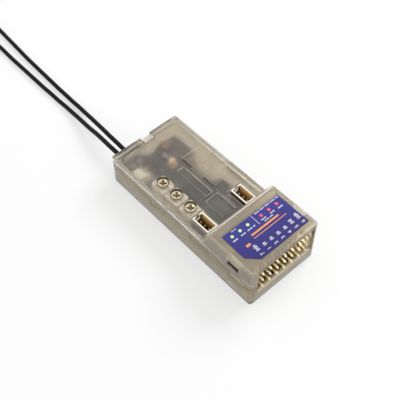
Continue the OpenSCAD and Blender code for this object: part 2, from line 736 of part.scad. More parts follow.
module microcontroller() {
    legged_chip([bay_x + 0.33 * bay_w, trimmer_y[1] + 0.04 * trimmer_pitch],
                [0.36 * bay_w, 1.3 * trimmer_pitch, 1.2], [0.12, 0.12, 0.13], 8, 0.15 * trimmer_pitch, 0.35);
}

module motion_sensor() {
    chip([socket_middle, socket_y + 0.23 * socket_l], [0.3 * socket_span, 0.66 * socket_l, 0.9],
         [0.12, 0.12, 0.13]);
}

module radio_chip() {
    chip(spot(0.27, 0.7), [0.23 * bay_w, 0.28 * tail_run, 0.9], [0.45, 0.45, 0.45]);
}

module radio_amplifier() {
    chip(spot(0.17, 0.35), [0.18 * bay_w, 0.21 * tail_run, 0.8], [0.45, 0.45, 0.45]);
}

// Crystal in a metal can with rounded corners
module radio_crystal() {
    x = 0.06 * bay_w;
    y = 0.11 * tail_run;
    at = spot(0.49, 0.6);
    color([0.75, 0.75, 0.73]) translate([at[0], at[1], board_top]) linear_extrude(0.8)
        polygon(outline([[-x, -y], [x, -y], [x, y], [-x, y]], [0.3, 0.3, 0.3, 0.3]));
}

module voltage_regulator() {
    legged_chip([bay_x + 0.78 * bay_w, trimmer_y[0] + 0.4 * trimmer_pitch],
                [0.24 * bay_w, 0.74 * trimmer_pitch, 1.5], [0.12, 0.12, 0.13], 3, 0.24 * trimmer_pitch, 0.6);
}

module tantalum_capacitor() {
    chip(spot(0.64, 0.85), [0.16 * bay_w, 0.25 * tail_run, 1.7], [0.85, 0.5, 0.25]);
}

// Small round capacitor on a square foot
module ceramic_capacitor() {
    foot = 0.17 * bay_w;
    at = spot(0.46, 0.33);
    color([0.92, 0.76, 0.6]) translate([at[0], at[1], board_top]) {
        translate([-foot / 2, -foot / 2, 0]) cube([foot, foot, 0.5]);
        rotate_extrude()
            polygon([[0, 0], [foot * 0.45, 0], [foot * 0.45, 1.9], [foot * 0.37, 2.2], [0, 2.2]]);
    }
}

module chip_capacitors() {
    size = [0.06 * bay_w, 0.14 * tail_run, 0.7];
    for (p = [[0.1, 0.83], [0.09, 0.62], [0.65, 0.42], [0.82, 0.65], [0.86, 0.38], [0.65, 0.12], [0.2, 0.05],
              [0.82, 0.05]])
        chip(spot(p[0], p[1]), size, [0.7, 0.62, 0.5]);
    for (s = [-1, 1]) chip([header_x + s * pitch, foot_y + 0.3], size, [0.7, 0.62, 0.5]);
}

module status_led() {
    chip([trimmer_x - 0.7, tail_y + 0.56 * tail_run], [2.8, 0.3 * tail_run, 1.6], [0.93, 0.9, 0.8]);
}

// Indicator lamps on the board below the label's dots, by their shares of the label's width
module indicator_leds(shares, tone) {
    for (f = shares)
        chip([label_x + f * label_w, block_rear + leg_from_block + pitch / 2], [1.1, 0.8, 0.6], tone);
}

// Snap-on cable plugs on the board, each a round head with a crimp towards the exit
module antenna_plugs() {
    head_d = 2;
    crimp_w = 1.5;
    head_y = lead_start - 1.2;
    color([0.8, 0.75, 0.55]) for (x = [left_exit_x, right_exit_x]) {
        translate([x, head_y, board_top]) cylinder(d = head_d, h = exit_rise + coax_d / 2);
        span([x - crimp_w / 2, head_y, board_top], [x + crimp_w / 2, lead_start, exit_z + coax_d / 2 + 0.1]);
    }
}

// Cables from the plugs through the grommet to the rear face
module antenna_leads() {
    color([0.06, 0.06, 0.06]) for (x = [left_exit_x, right_exit_x])
        translate([x, lead_start, exit_z]) rotate([-90, 0, 0]) cylinder(d = coax_d, h = rear_y - lead_start);
}

// Rubber grommet: a flange inside the wall and a neck in the wall's slot
module antenna_grommet() {
    wide = grommet_w - 2 * fit;
    color([0.25, 0.25, 0.25]) difference() {
        union() {
            span([grommet_x - wide / 2, rear_y - wall - flange_t, board_top],
                 [grommet_x + wide / 2, rear_y - wall - fit, deck_h - roof_t - 0.3]);
            span([grommet_x - wide / 2, rear_y - wall - 2 * fit, exit_z - coax_d / 2 - 0.4 + fit],
                 [grommet_x + wide / 2, rear_y, neck_top]);
        }
        for (x = [left_exit_x, right_exit_x])
            translate([x, rear_y - wall - flange_t - cut, exit_z]) rotate([-90, 0, 0])
                cylinder(d = coax_d + 2 * fit, h = wall + flange_t + 2 * cut);
    }
}

// Middle of a coil that turns to the left from the end of a route
function coil_middle(route) = let(p = route[len(route) - 1]) [p[0] - coil_r, p[1]];

module free_cable(route) {
    color([0.06, 0.06, 0.06]) cable(route, coax_d);
}

module coil(route, turn) {
    m = coil_middle(route);
    color([0.06, 0.06, 0.06]) translate([m[0], m[1], coil_z])
        rotate_extrude(angle = turn) translate([coil_r, 0]) circle(d = coax_d, $fn = 24);
}

// Height of the tip's middle: beside the cable on the first turn, on top of it on the second
function tip_z(a) = let(t = min(max((a - 290) / 50, 0), 1)) tie_t + tip_d / 2 + coax_d * t * t * (3 - 2 * t);

module tip(route, from) {
    m = coil_middle(route);
    steps = 16;
    color([0.88, 0.86, 0.8]) cable([for (k = [0:steps]) let(a = from + tip_turn * k / steps)
        [m[0] + coil_r * cos(a), m[1] + coil_r * sin(a), tip_z(a)]], tip_d);
}

// Band round the coil and the tip on it, at angle a
module tie(route, a) {
    m = coil_middle(route);
    wide = coax_d + 2 * fit;
    high = coax_d + tip_d + fit;
    color([0.12, 0.12, 0.12]) translate([m[0], m[1], 0]) rotate([0, 0, a]) translate([coil_r, 0, 0])
        difference() {
            translate([-wide / 2 - tie_t, -tie_w / 2, 0]) cube([wide + 2 * tie_t, tie_w, high + 2 * tie_t]);
            translate([-wide / 2, -tie_w, tie_t]) cube([wide, 2 * tie_w, high]);
        }
}

base_tub();
top_cover();
label();
main_board();
header_block();
header_row(0);  // header_pins_lower
header_row(1);  // header_pins_middle
header_row(2);  // header_pins_upper
socket(left_socket_x);  // left_socket
socket_pins(left_socket_x);  // left_socket_pins
socket(right_socket_x);  // right_socket
socket_pins(right_socket_x);  // right_socket_pins
trimmer_body(0);  // trimmer_body_1
trimmer_body(1);  // trimmer_body_2
trimmer_body(2);  // trimmer_body_3
trimmer_rotor(0);  // trimmer_rotor_1
trimmer_rotor(1);  // trimmer_rotor_2
trimmer_rotor(2);  // trimmer_rotor_3
microcontroller();
motion_sensor();
radio_chip();
radio_amplifier();
radio_crystal();
voltage_regulator();
tantalum_capacitor();
ceramic_capacitor();
chip_capacitors();
status_led();
indicator_leds([-0.395, -0.26, -0.123], [0.7, 0.95, 0.6]);  // green_leds
indicator_leds([0.113, 0.249, 0.385], [0.95, 0.35, 0.4]);  // red_leds
antenna_plugs();
antenna_leads();
antenna_grommet();
free_cable(left_route);  // antenna_left
coil(left_route, left_turn);  // antenna_left_coil
tip(left_route, left_turn + 0.5);  // antenna_left_tip
tie(left_route, 180);  // antenna_left_tie
free_cable(right_route);  // antenna_right
coil(right_route, right_turn);  // antenna_right_coil
tip(right_route, right_turn + 0.5);  // antenna_right_tip
tie(right_route, 45);  // antenna_right_tie
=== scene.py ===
import math

import bmesh
import bpy
from bpy.props import FloatProperty, FloatVectorProperty, IntProperty, PointerProperty
from mathutils import Matrix, Vector


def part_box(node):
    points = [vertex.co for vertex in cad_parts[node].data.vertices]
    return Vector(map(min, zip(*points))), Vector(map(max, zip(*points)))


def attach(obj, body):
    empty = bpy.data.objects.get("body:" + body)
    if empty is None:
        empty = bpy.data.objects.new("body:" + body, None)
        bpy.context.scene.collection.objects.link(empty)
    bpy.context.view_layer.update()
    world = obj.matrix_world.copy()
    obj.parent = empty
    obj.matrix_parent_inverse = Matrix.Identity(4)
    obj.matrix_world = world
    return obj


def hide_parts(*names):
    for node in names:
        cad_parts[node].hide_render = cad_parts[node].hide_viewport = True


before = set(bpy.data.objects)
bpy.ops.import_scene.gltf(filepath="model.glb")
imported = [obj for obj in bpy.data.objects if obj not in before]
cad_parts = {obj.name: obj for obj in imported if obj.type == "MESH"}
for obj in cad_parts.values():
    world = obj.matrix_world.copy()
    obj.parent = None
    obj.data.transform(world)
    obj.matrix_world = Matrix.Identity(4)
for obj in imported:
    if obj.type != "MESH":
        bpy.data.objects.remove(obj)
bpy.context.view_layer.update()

bl_info = {
    "name": "Radio Receiver Dressing",
    "version": (1, 0, 0),
    "blender": (4, 5, 0),
    "location": "View3D > Sidebar > Receiver",
    "description": "Builds the finished look of a frosted radio control receiver on its solid frame",
    "category": "Object",
}

MM = 0.001
BODY = "receiver"
PLASTIC_IOR = 1.46

# Camera: focal length and sensor in millimetres, place in metres, and its axes
FOCAL_LENGTH = 68.697
SENSOR_WIDTH = 36
CAMERA_PLACE = Vector((-0.08103, -0.08683, 0.16586))
CAMERA_RIGHT = Vector((0.74192206, -0.67047086, -0.00452566))
CAMERA_UP = Vector((0.5394668, 0.59292163, 0.59784573))
CAMERA_BACK = Vector((-0.39815478, -0.44599638, 0.80159841))

# Lamps: name, place and diameter in metres, power in watts
LAMPS = (("window", (0.41, 0.0, 0.37), 0.34, 2.1),
         ("fill", (-0.35, -0.3, 0.4), 0.5, 0.3),
         ("rim_light", (-0.4, 0.22, 0.2), 0.06, 0.16))

# The sizes and places from here on are in millimetres.
# Antenna cables: thickness, height of the middle on the table and in the stored turn, and routes
COAX = 1.3
REST = COAX / 2
COIL = 0.2 + COAX / 2
COIL_RADIUS = 6.8
COIL_STEP = 7.5
LEFT_ROUTE = [
    (-7, 27, 4.6), (-7, 30, 4.6), (-6.9, 33.5, 4.4), (-6.7, 37, 4.1), (-6.4, 40.5, 3.5),
    (-6.2, 44, 2.8), (-5.9, 47.5, 2.1), (-5.6, 51, 1.5), (-5.4, 54.5, 1), (-5.3, 58, 0.7),
    (-5.4, 61.5, REST), (-5.4, 65, REST), (-5.5, 68.5, REST), (-5.5, 72, REST),
    (-5.5, 75.5, REST), (-5.5, 79, REST), (-5.5, 82.5, REST), (-5.5, 86, REST),
    (-5.4, 89.5, REST), (-5.3, 93, REST), (-5.2, 96.5, REST), (-5.2, 100, REST),
    (-5.2, 103.5, 0.7), (-5.2, 107, COIL),
]
RIGHT_ROUTE = [
    (-4.8, 27, 4.6), (-4.8, 30, 4.6), (-4.6, 33.5, 4.4), (-4.4, 37, 4.1), (-4, 40.5, 3.5),
    (-3.6, 44, 2.8), (-3.2, 47.5, 2.1), (-2.9, 51, 1.5), (-2.6, 54.5, 1), (-2.5, 58, 0.7),
    (-2.4, 61.5, REST), (-2.4, 65, REST), (-2.3, 68.5, REST), (-2.2, 72, REST),
    (-2.1, 75.5, REST), (-2, 79, REST), (-1.9, 82.5, REST), (-1.7, 86, REST),
    (-1.5, 89.5, REST), (-1.3, 93, REST), (-1.1, 96.5, REST), (-0.9, 100, REST),
    (-0.6, 103.5, REST), (-0.4, 107, REST), (-0.3, 110.5, REST), (-0.2, 114, REST),
    (-0.2, 118, 0.7), (-0.2, 122, COIL),
]
ANTENNAS = (("left", LEFT_ROUTE, 300), ("right", RIGHT_ROUTE, 180))    # The turn is in degrees

# Case: limits between the faces that take different finishes
HOLLOW_X, HOLLOW_Y = 10.4, 25.9          # Half width and half length of the hollow
OUTER_X, OUTER_Y = 10.9, 26.4            # The same for the outer faces of the walls
HOOD_REAR = -8.7                         # The hood stands in front of this line
CREST_FRONT, CREST_REAR = -12.2, -8.6    # Slope between the deck and the top of the hood
# FOOT_TOP bounds the bottom edge, which is painted in shade
FLOOR_TOP, FOOT_TOP = 1.1, 0.55
SHADE_LOW, SHADE_HIGH = 0.6, 3.2         # The painted shade at the foot fades out between these heights
SKIRT_TOP = 9.2                          # Lower part of the cover's outer walls
DECK_UNDER, DECK_OVER = 8.65, 9.58
HOOD_UNDER = 12.85
RECESS_UNDER, RECESS_OVER = 13.51, 13.79
RECESS_HALF_X, RECESS_FRONT, RECESS_REAR = 10.1, -25.3, -13.7
WINDOW_X = 10.2                          # The snap windows lie outside this
WINDOW_FRONT, WINDOW_END, WINDOW_REAR = -22.5, -18.3, -18.1
SLIT_LEFT, SLIT_RIGHT, SLIT_UNDER, SLIT_OVER = 2.1, 2.7, 8.55, 9.14
FLAT = 0.95                              # Level faces have a normal with more Z than this, up or down

# Board and the parts on it
# Fields of painted light on the board
PAINTED_LIGHT_FIELDS = ((("X", 4.5, 8.5), ("Y", 17.5, 14.5)),       # Each fades in between two places on two axes
                 (("X", -3.5, -5.5), ("Y", 16.5, 18.5)))
SOCKET_BASE, SOCKET_TOP = 4.4, 9.3
SOCKET_WALL = 0.35
PIN_HALF = 0.32                          # Half the width of the solid pins
HIGHLIGHT_END = 0.45                          # Length of a servo pin's end that takes a painted highlight
ROTOR_HOLE = 2.4                         # Radius round a rotor that takes in the walls of its hole
SLOT_LOW, SLOT_HIGH, FACE_DEPTH = 0.62, 0.3, 0.08     # Depths below a rotor's top

# Label: places of the prints, which repeat along X
LABEL_X = 0.45
LABEL_FRONT, LABEL_REAR = -24.7, -13.8
NUMBERS_X, NUMBERS_Y, NUMBER_SPREAD = 1.94, -23.8, 0.917
BARS_Y, BAR_STEP = -22.4, 0.5
BARS = ((1.1, 0.24), (0.8, 0.3), (1.15, 0.26), (0.75, 0.28))     # Width and thickness
BAR_COUNTS = (4, 2, 2, 2, 2, 3, 4)
# Rows of notes, each with its start, end, place in Y and height; rules with place, length and thickness
NOTES = ((-6.3, -4.9, -14.4, 0.3), (-7.9, -6.3, -16.8, 0.5), (-5.3, -4.0, -16.8, 0.42),
         (-3.1, -0.6, -16.8, 0.42), (1.6, 9.6, -14.35, 0.42), (1.6, 3.3, -16.8, 0.42),
         (4.6, 5.7, -16.8, 0.42), (7.2, 8.8, -17.0, 0.5), (2.0, 4.6, -17.5, 0.36))
RULES = ((1.2, -18.4, 9.2, 0.5), (2.0, -19.45, 11.0, 0.2), (-5.9, -19.9, 1.3, 0.7))
DOTS = (("label_green_dots", (-7.1, -4.5, -1.9), -15.5, "print_green"),
        ("label_red_dots", (2.5, 5.15, 7.85), -15.7, "print_red"))
DOT_SIZE = 0.9


# Meshes

def millimetres(p):
    return Vector(p) * MM


def box_mm(node):
    """Lowest and highest corner of a solid, in millimetres."""
    low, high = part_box(node)
    return [value / MM for value in low], [value / MM for value in high]


def add_object(name, mesh, paint):
    """New object whose mesh has the finish of the given name."""
    piece = bpy.data.objects.new(name, mesh)
    bpy.context.scene.collection.objects.link(piece)
    mesh.materials.clear()
    mesh.materials.append(finish(paint))
    return piece


def shade_by_angle(mesh, degrees=30):
    """Smooth faces, with the edges over the given angle kept sharp."""
    bm = bmesh.new()
    bm.from_mesh(mesh)
    limit = math.radians(degrees)
    for edge in bm.edges:
        edge.smooth = len(edge.link_faces) == 2 and edge.calc_face_angle(0) < limit
    for face in bm.faces:
        face.smooth = True
    bm.to_mesh(mesh)
    bm.free()


def bevel_modifier(piece, width, segments):
    bevel = piece.modifiers.new("soft_edges", "BEVEL")
    bevel.width = width * MM
    bevel.segments = segments
    bevel.limit_method = "ANGLE"
    bevel.angle_limit = math.radians(32)
    bevel.use_clamp_overlap = True
    bevel.harden_normals = True


def baked(piece):
    """Applies the piece's modifiers to a plain mesh."""
    graph = bpy.context.evaluated_depsgraph_get()
    mesh = bpy.data.meshes.new_from_object(piece.evaluated_get(graph), depsgraph=graph)
    mesh.name = piece.name
    piece.modifiers.clear()
    piece.data = mesh
    return piece


def solid_copy(node, name, paint, bevel=0.0, segments=2, body=BODY):
    """Merged copy of a solid with softened edges, which stands for it."""
    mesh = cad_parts[node].data.copy()
    mesh.name = name
    bm = bmesh.new()
    bm.from_mesh(mesh)
    bmesh.ops.remove_doubles(bm, verts=bm.verts, dist=0.002 * MM)
    bmesh.ops.dissolve_limit(bm, angle_limit=math.radians(0.6), verts=bm.verts, edges=bm.edges)
    bm.to_mesh(mesh)
    bm.free()
    piece = add_object(name, mesh, paint)
    shade_by_angle(mesh)
    if bevel:
        bevel_modifier(piece, bevel, segments)
        baked(piece)
    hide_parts(node)
    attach(piece, body)
    return piece


def paint_faces(piece, paint, test):
    """Gives the faces whose middle, in millimetres, and normal pass the test another finish."""
    piece.data.materials.append(finish(paint))
    index = len(piece.data.materials) - 1
    for face in piece.data.polygons:
        x, y, z = face.center / MM
        if test(x, y, z, face.normal):
            face.material_index = index


def skin(bm, rings):
    """Joins rings of vertices to a closed tube with flat ends."""
    sides = len(rings[0])
    for a, b in zip(rings, rings[1:]):
        for k in range(sides):
            bm.faces.new((a[k], a[(k + 1) % sides], b[(k + 1) % sides], b[k]))
    bm.faces.new(list(reversed(rings[0])))
    bm.faces.new(rings[-1])
    bmesh.ops.recalc_face_normals(bm, faces=bm.faces)


def prism(outline, low, high):
    """Bmesh of a flat outline raised between two heights."""
    bm = bmesh.new()
    face = bm.faces.new([bm.verts.new(millimetres((x, y, low))) for x, y in outline])
    for item in bmesh.ops.extrude_face_region(bm, geom=[face])["geom"]:
        if isinstance(item, bmesh.types.BMVert):
            item.co.z = high * MM
    bmesh.ops.recalc_face_normals(bm, faces=bm.faces)
    return bm


def mesh_from(bm, name):
    mesh = bpy.data.meshes.new(name)
    bm.to_mesh(mesh)
    bm.free()
    return mesh


def merge_into(target, bm):
    """Adds the contents of one bmesh to another."""
    scratch = mesh_from(bm, "scratch")
    target.from_mesh(scratch)
    bpy.data.meshes.remove(scratch)


def rounded_rectangle(x, y, width, length, radius, steps=4):
    points = []
    for cx, cy, start in ((1, -1, -90), (1, 1, 0), (-1, 1, 90), (-1, -1, 180)):
        for k in range(steps + 1):
            a = math.radians(start + 90 * k / steps)
            points.append((x + cx * (width / 2 - radius) + radius * math.cos(a),
                           y + cy * (length / 2 - radius) + radius * math.sin(a)))
    return points


# Shader nodes

def feed(tree, value, socket):
    """Links a socket to another one, or sets it to a number or colour."""
    if isinstance(value, bpy.types.NodeSocket):
        tree.links.new(value, socket)
    else:
        socket.default_value = value


def object_place(tree):
    return tree.nodes.new("ShaderNodeTexCoord").outputs["Object"]


def axes_of(tree, vector):
    split = tree.nodes.new("ShaderNodeSeparateXYZ")
    tree.links.new(vector, split.inputs["Vector"])
    return split.outputs


def noise(tree, vector, scale, detail=3.0, rough=0.5):
    node = tree.nodes.new("ShaderNodeTexNoise")
    node.inputs["Detail"].default_value = detail
    node.inputs["Roughness"].default_value = rough
    feed(tree, scale, node.inputs["Scale"])
    tree.links.new(vector, node.inputs["Vector"])
    return node.outputs["Fac"]


def maths(tree, operation, *values):
    node = tree.nodes.new("ShaderNodeMath")
    node.operation = operation
    for value, socket in zip(values, node.inputs):
        feed(tree, value, socket)
    return node.outputs[0]


def swing(tree, value, amount, middle=1.0):
    """A noise's value as a swing of the given amount round a middle."""
    return maths(tree, "MULTIPLY_ADD", maths(tree, "SUBTRACT", value, 0.5), amount, middle)


def ramped(tree, value, low, high, start=0.0, end=1.0, curve="SMOOTHSTEP"):
    """Goes from start to end while the value goes from low to high."""
    node = tree.nodes.new("ShaderNodeMapRange")
    node.interpolation_type = curve
    for name, number in (("From Min", low), ("From Max", high), ("To Min", start), ("To Max", end)):
        node.inputs[name].default_value = number
    tree.links.new(value, node.inputs["Value"])
    return node.outputs["Result"]


def colour_ramp(tree, value, stops):
    """Colour that a value picks between stops, each a place and a colour."""
    node = tree.nodes.new("ShaderNodeValToRGB")
    elements = node.color_ramp.elements
    elements[0].position, elements[1].position = stops[0][0], stops[-1][0]
    for place, _ in stops[1:-1]:
        elements.new(place)
    for element, (_, colour) in zip(elements, stops):
        element.color = (*colour, 1)
    tree.links.new(value, node.inputs["Fac"])
    return node.outputs["Color"]


def mixed_colour(tree, factor, first, second, blend="MIX"):
    node = tree.nodes.new("ShaderNodeMix")
    node.data_type = "RGBA"
    node.blend_type = blend
    feed(tree, factor, node.inputs["Factor"])
    feed(tree, first, node.inputs[6])
    feed(tree, second, node.inputs[7])
    return node.outputs[2]


def scaled_colour(tree, colour, factor):
    """Colour multiplied by a factor near one."""
    return mixed_colour(tree, 1.0, colour, factor, "MULTIPLY")


def surface_group(name, inputs):
    """New shader group with the given inputs, and outputs for colour, roughness and height."""
    tree = bpy.data.node_groups.new(name, "ShaderNodeTree")
    for label, default in inputs.items():
        kind = "NodeSocketFloat" if isinstance(default, float) else "NodeSocketColor"
        socket = tree.interface.new_socket(name=label, in_out="INPUT", socket_type=kind)
        socket.default_value = default
    for label, kind in (("Colour", "NodeSocketColor"), ("Roughness", "NodeSocketFloat"),
                        ("Height", "NodeSocketFloat")):
        tree.interface.new_socket(name=label, in_out="OUTPUT", socket_type=kind)
    return tree, tree.nodes.new("NodeGroupInput").outputs, tree.nodes.new("NodeGroupOutput").inputs


def moulded_surface_group():
    """Mottled colour, uneven gloss, a fine spark-eroded grain and painted shade towards the foot, for moulded
    parts.
    """
    tree = bpy.data.node_groups.get("moulded surface")
    if tree:
        return tree
    tree, inward, outward = surface_group("moulded surface", {
        "Colour": (0.8, 0.8, 0.8, 1), "Mottle": 0.08, "Mottle Scale": 120.0, "Roughness": 0.4,
        "Gloss Spread": 0.08, "Grain Scale": 4000.0, "Foot Shade": 0.0})
    place = object_place(tree)
    mottle = swing(tree, noise(tree, place, inward["Mottle Scale"], 4.0, 0.6), inward["Mottle"])
    # Painted shade: the colour darkens towards the part's foot
    foot_shading = ramped(tree, axes_of(tree, place)["Z"], SHADE_LOW * MM, SHADE_HIGH * MM, 1.0, 0.0)
    shade = maths(tree, "SUBTRACT", 1.0, maths(tree, "MULTIPLY", foot_shading, inward["Foot Shade"]))
    factor = maths(tree, "MULTIPLY", mottle, shade)
    tree.links.new(scaled_colour(tree, inward["Colour"], factor), outward["Colour"])
    smear = noise(tree, place, 260.0, 3.0, 0.6)
    gloss = swing(tree, smear, inward["Gloss Spread"], inward["Roughness"])
    tree.links.new(gloss, outward["Roughness"])
    tree.links.new(noise(tree, place, inward["Grain Scale"], 2.0, 0.7), outward["Height"])
    return tree


def plated_metal_group():
    """Drawn streaks along one axis and patches of tarnish, for plated contacts and lids."""
    tree = bpy.data.node_groups.get("plated metal")
    if tree:
        return tree
    tree, inward, outward = surface_group("plated metal", {
        "Colour": (0.8, 0.6, 0.3, 1), "Tarnish Colour": (0.4, 0.28, 0.12, 1), "Tarnish": 0.3,
        "Roughness": 0.25})
    place = object_place(tree)
    stretch = tree.nodes.new("ShaderNodeMapping")
    stretch.inputs["Scale"].default_value = (9000, 700, 9000)
    tree.links.new(place, stretch.inputs["Vector"])
    streaks = noise(tree, stretch.outputs["Vector"], 1.0, 2.0, 0.5)
    patches = noise(tree, place, 700.0, 4.0, 0.65)
    amount = maths(tree, "MULTIPLY", maths(tree, "POWER", patches, 2.0), inward["Tarnish"])
    colour = mixed_colour(tree, amount, inward["Colour"], inward["Tarnish Colour"])
    tree.links.new(colour, outward["Colour"])
    rough = maths(tree, "MULTIPLY_ADD", streaks, 0.12, inward["Roughness"])
    tree.links.new(rough, outward["Roughness"])
    tree.links.new(streaks, outward["Height"])
    return tree


# Materials

def new_material(name):
    material = bpy.data.materials.new(name + " finish")
    material.use_nodes = True
    return material, material.node_tree, material.node_tree.nodes["Principled BSDF"]


def add_bump(tree, shader, height, strength, distance):
    bump = tree.nodes.new("ShaderNodeBump")
    bump.inputs["Strength"].default_value = strength
    bump.inputs["Distance"].default_value = distance * MM
    tree.links.new(height, bump.inputs["Height"])
    tree.links.new(bump.outputs["Normal"], shader.inputs["Normal"])


def dressed(name, group, bump_strength, bump_distance, values):
    """Material whose colour, roughness and bump come from a shader group."""
    material, tree, shader = new_material(name)
    surface = tree.nodes.new("ShaderNodeGroup")
    surface.node_tree = group
    for label, value in values.items():
        surface.inputs[label].default_value = value
    tree.links.new(surface.outputs["Colour"], shader.inputs["Base Color"])
    tree.links.new(surface.outputs["Roughness"], shader.inputs["Roughness"])
    add_bump(tree, shader, surface.outputs["Height"], bump_strength, bump_distance)
    return material, tree, shader, surface


def moulded(name, colour, roughness=0.4, mottle=0.08, mottle_scale=150.0, grain_scale=3500.0,
            grain=0.15, transmission=0.0, subsurface=0.0, specular=0.5, foot_shade=0.0,
            edge_shade=0.0):
    """Moulded plastic, ceramic or rubber."""
    material, tree, shader, surface = dressed(name, moulded_surface_group(), grain, 0.02, {
        "Colour": (*colour, 1), "Mottle": mottle, "Mottle Scale": mottle_scale,
        "Roughness": roughness, "Grain Scale": grain_scale, "Foot Shade": foot_shade})
    if edge_shade:
        # Painted shade: the colour darkens where the surface turns away from the view, as light that leaves
        # the plastic at a flat angle has come a longer way through it
        facing = tree.nodes.new("ShaderNodeLayerWeight")
        facing.inputs["Blend"].default_value = 0.5
        depth = maths(tree, "POWER", facing.outputs["Facing"], 1.6)
        factor = maths(tree, "MULTIPLY_ADD", depth, -edge_shade, 1.0)
        shaded = scaled_colour(tree, surface.outputs["Colour"], factor)
        tree.links.new(shaded, shader.inputs["Base Color"])
    shader.inputs["IOR"].default_value = PLASTIC_IOR
    shader.inputs["Transmission Weight"].default_value = transmission
    shader.inputs["Specular IOR Level"].default_value = specular
    if subsurface:
        shader.inputs["Subsurface Weight"].default_value = subsurface
        shader.inputs["Subsurface Radius"].default_value = (1.0, 0.9, 0.7)
        shader.inputs["Subsurface Scale"].default_value = MM
    return material


def frosted(name, tone, roughness, mottle, grain, transmission, **shades):
    """Translucent plastic of the case."""
    return moulded(name, tone, roughness, mottle, 90, 9000, grain, transmission, **shades)


def plated(name, colour, tarnish_colour, roughness=0.22, tarnish=0.5):
    """Plated contact metal."""
    material, _, shader, _ = dressed(name, plated_metal_group(), 0.08, 0.01, {
        "Colour": (*colour, 1), "Tarnish Colour": (*tarnish_colour, 1), "Tarnish": tarnish,
        "Roughness": roughness})
    shader.inputs["Metallic"].default_value = 1.0
    return material


def circuit_board(name):
    """Dark solder mask with copper areas and tracks that show as a slightly paler tone, and two pale fields
    of painted light.
    """
    material, tree, shader = new_material(name)
    place = object_place(tree)
    cells = tree.nodes.new("ShaderNodeTexVoronoi")
    cells.distance = "CHEBYCHEV"
    cells.feature = "F1"
    cells.inputs["Scale"].default_value = 420.0
    tree.links.new(place, cells.inputs["Vector"])
    areas = maths(tree, "MULTIPLY", noise(tree, place, 180.0, 1.0, 0.4), 0.75)
    tracks = maths(tree, "MULTIPLY_ADD", cells.outputs["Distance"], 0.35, areas)
    mask = colour_ramp(tree, tracks, ((0.42, (0.012, 0.016, 0.018)), (0.55, (0.1, 0.1, 0.095))))
    # Painted light makes the board pale along the right edge and in the rear left corner
    axes = axes_of(tree, place)
    fields = []
    for limits in PAINTED_LIGHT_FIELDS:
        fades = [ramped(tree, axes[axis], low * MM, high * MM) for axis, low, high in limits]
        fields.append(maths(tree, "MULTIPLY", *fades))
    painted_light_tone = (0.75, 0.66, 0.54, 1)
    colour = mixed_colour(tree, maths(tree, "MAXIMUM", *fields), mask, painted_light_tone)
    tree.links.new(colour, shader.inputs["Base Color"])
    shader.inputs["Roughness"].default_value = 0.35
    add_bump(tree, shader, tracks, 0.1, 0.02)
    return material


def printed_film(name, colour):
    """Glossy printed label film that goes from violet at the front to blue at the rear."""
    material, tree, shader = new_material(name)
    place = object_place(tree)
    red, green, blue = colour
    along = ramped(tree, axes_of(tree, place)["Y"], LABEL_FRONT * MM, LABEL_REAR * MM, curve="LINEAR")
    ink = colour_ramp(tree, along, ((0.0, (red * 0.9, green * 0.8, blue * 0.8)),
                                    (1.0, (red * 1.15, green * 1.25, blue * 1.2))))
    factor = swing(tree, noise(tree, place, 2600.0, 2.0, 0.6), 0.25)
    tree.links.new(scaled_colour(tree, ink, factor), shader.inputs["Base Color"])
    shader.inputs["Roughness"].default_value = 0.24
    shader.inputs["Specular IOR Level"].default_value = 0.25
    add_bump(tree, shader, noise(tree, place, 500.0, 2.0, 0.5), 0.1, 0.03)
    return material


def lamp_lens(name, colour):
    """Clear lens of a lit indicator."""
    material, tree, shader = new_material(name)
    factor = maths(tree, "MULTIPLY_ADD", noise(tree, object_place(tree), 900.0), 0.5, 0.75)
    glass = tree.nodes.new("ShaderNodeRGB").outputs[0]
    glass.default_value = (*colour, 1)
    coloured = scaled_colour(tree, glass, factor)
    tree.links.new(coloured, shader.inputs["Base Color"])
    tree.links.new(coloured, shader.inputs["Emission Color"])
    shader.inputs["Emission Strength"].default_value = 0.3
    shader.inputs["Roughness"].default_value = 0.25
    return material


def floor_surface(name):
    """Matt white table that stays white to the camera and still shows the soft shadow."""
    material = bpy.data.materials.new(name + " finish")
    material.use_nodes = True
    tree = material.node_tree
    tree.nodes.clear()
    out = tree.nodes.new("ShaderNodeOutputMaterial")
    diffuse = tree.nodes.new("ShaderNodeBsdfDiffuse")
    place = object_place(tree)
    tone = colour_ramp(tree, noise(tree, place, 3.0), ((0.0, (0.86, 0.86, 0.86)), (1.0, (0.9, 0.9, 0.9))))
    tree.links.new(tone, diffuse.inputs["Color"])
    glow = tree.nodes.new("ShaderNodeEmission")
    glow.inputs["Strength"].default_value = 1.0
    path = tree.nodes.new("ShaderNodeLightPath").outputs
    seen = maths(tree, "MAXIMUM", path["Is Camera Ray"],
                 maths(tree, "MAXIMUM", path["Is Glossy Ray"], path["Is Transmission Ray"]))
    # The table turns fully white away from the object, so it meets the background without a line
    apart = tree.nodes.new("ShaderNodeVectorMath")
    apart.operation = "LENGTH"
    tree.links.new(place, apart.inputs[0])
    whiter = ramped(tree, apart.outputs["Value"], 0.2, 0.6, 0.6, 1.0)
    mix = tree.nodes.new("ShaderNodeMixShader")
    tree.links.new(maths(tree, "MULTIPLY", seen, whiter), mix.inputs[0])
    tree.links.new(diffuse.outputs[0], mix.inputs[1])
    tree.links.new(glow.outputs[0], mix.inputs[2])
    tree.links.new(mix.outputs[0], out.inputs["Surface"])
    return material


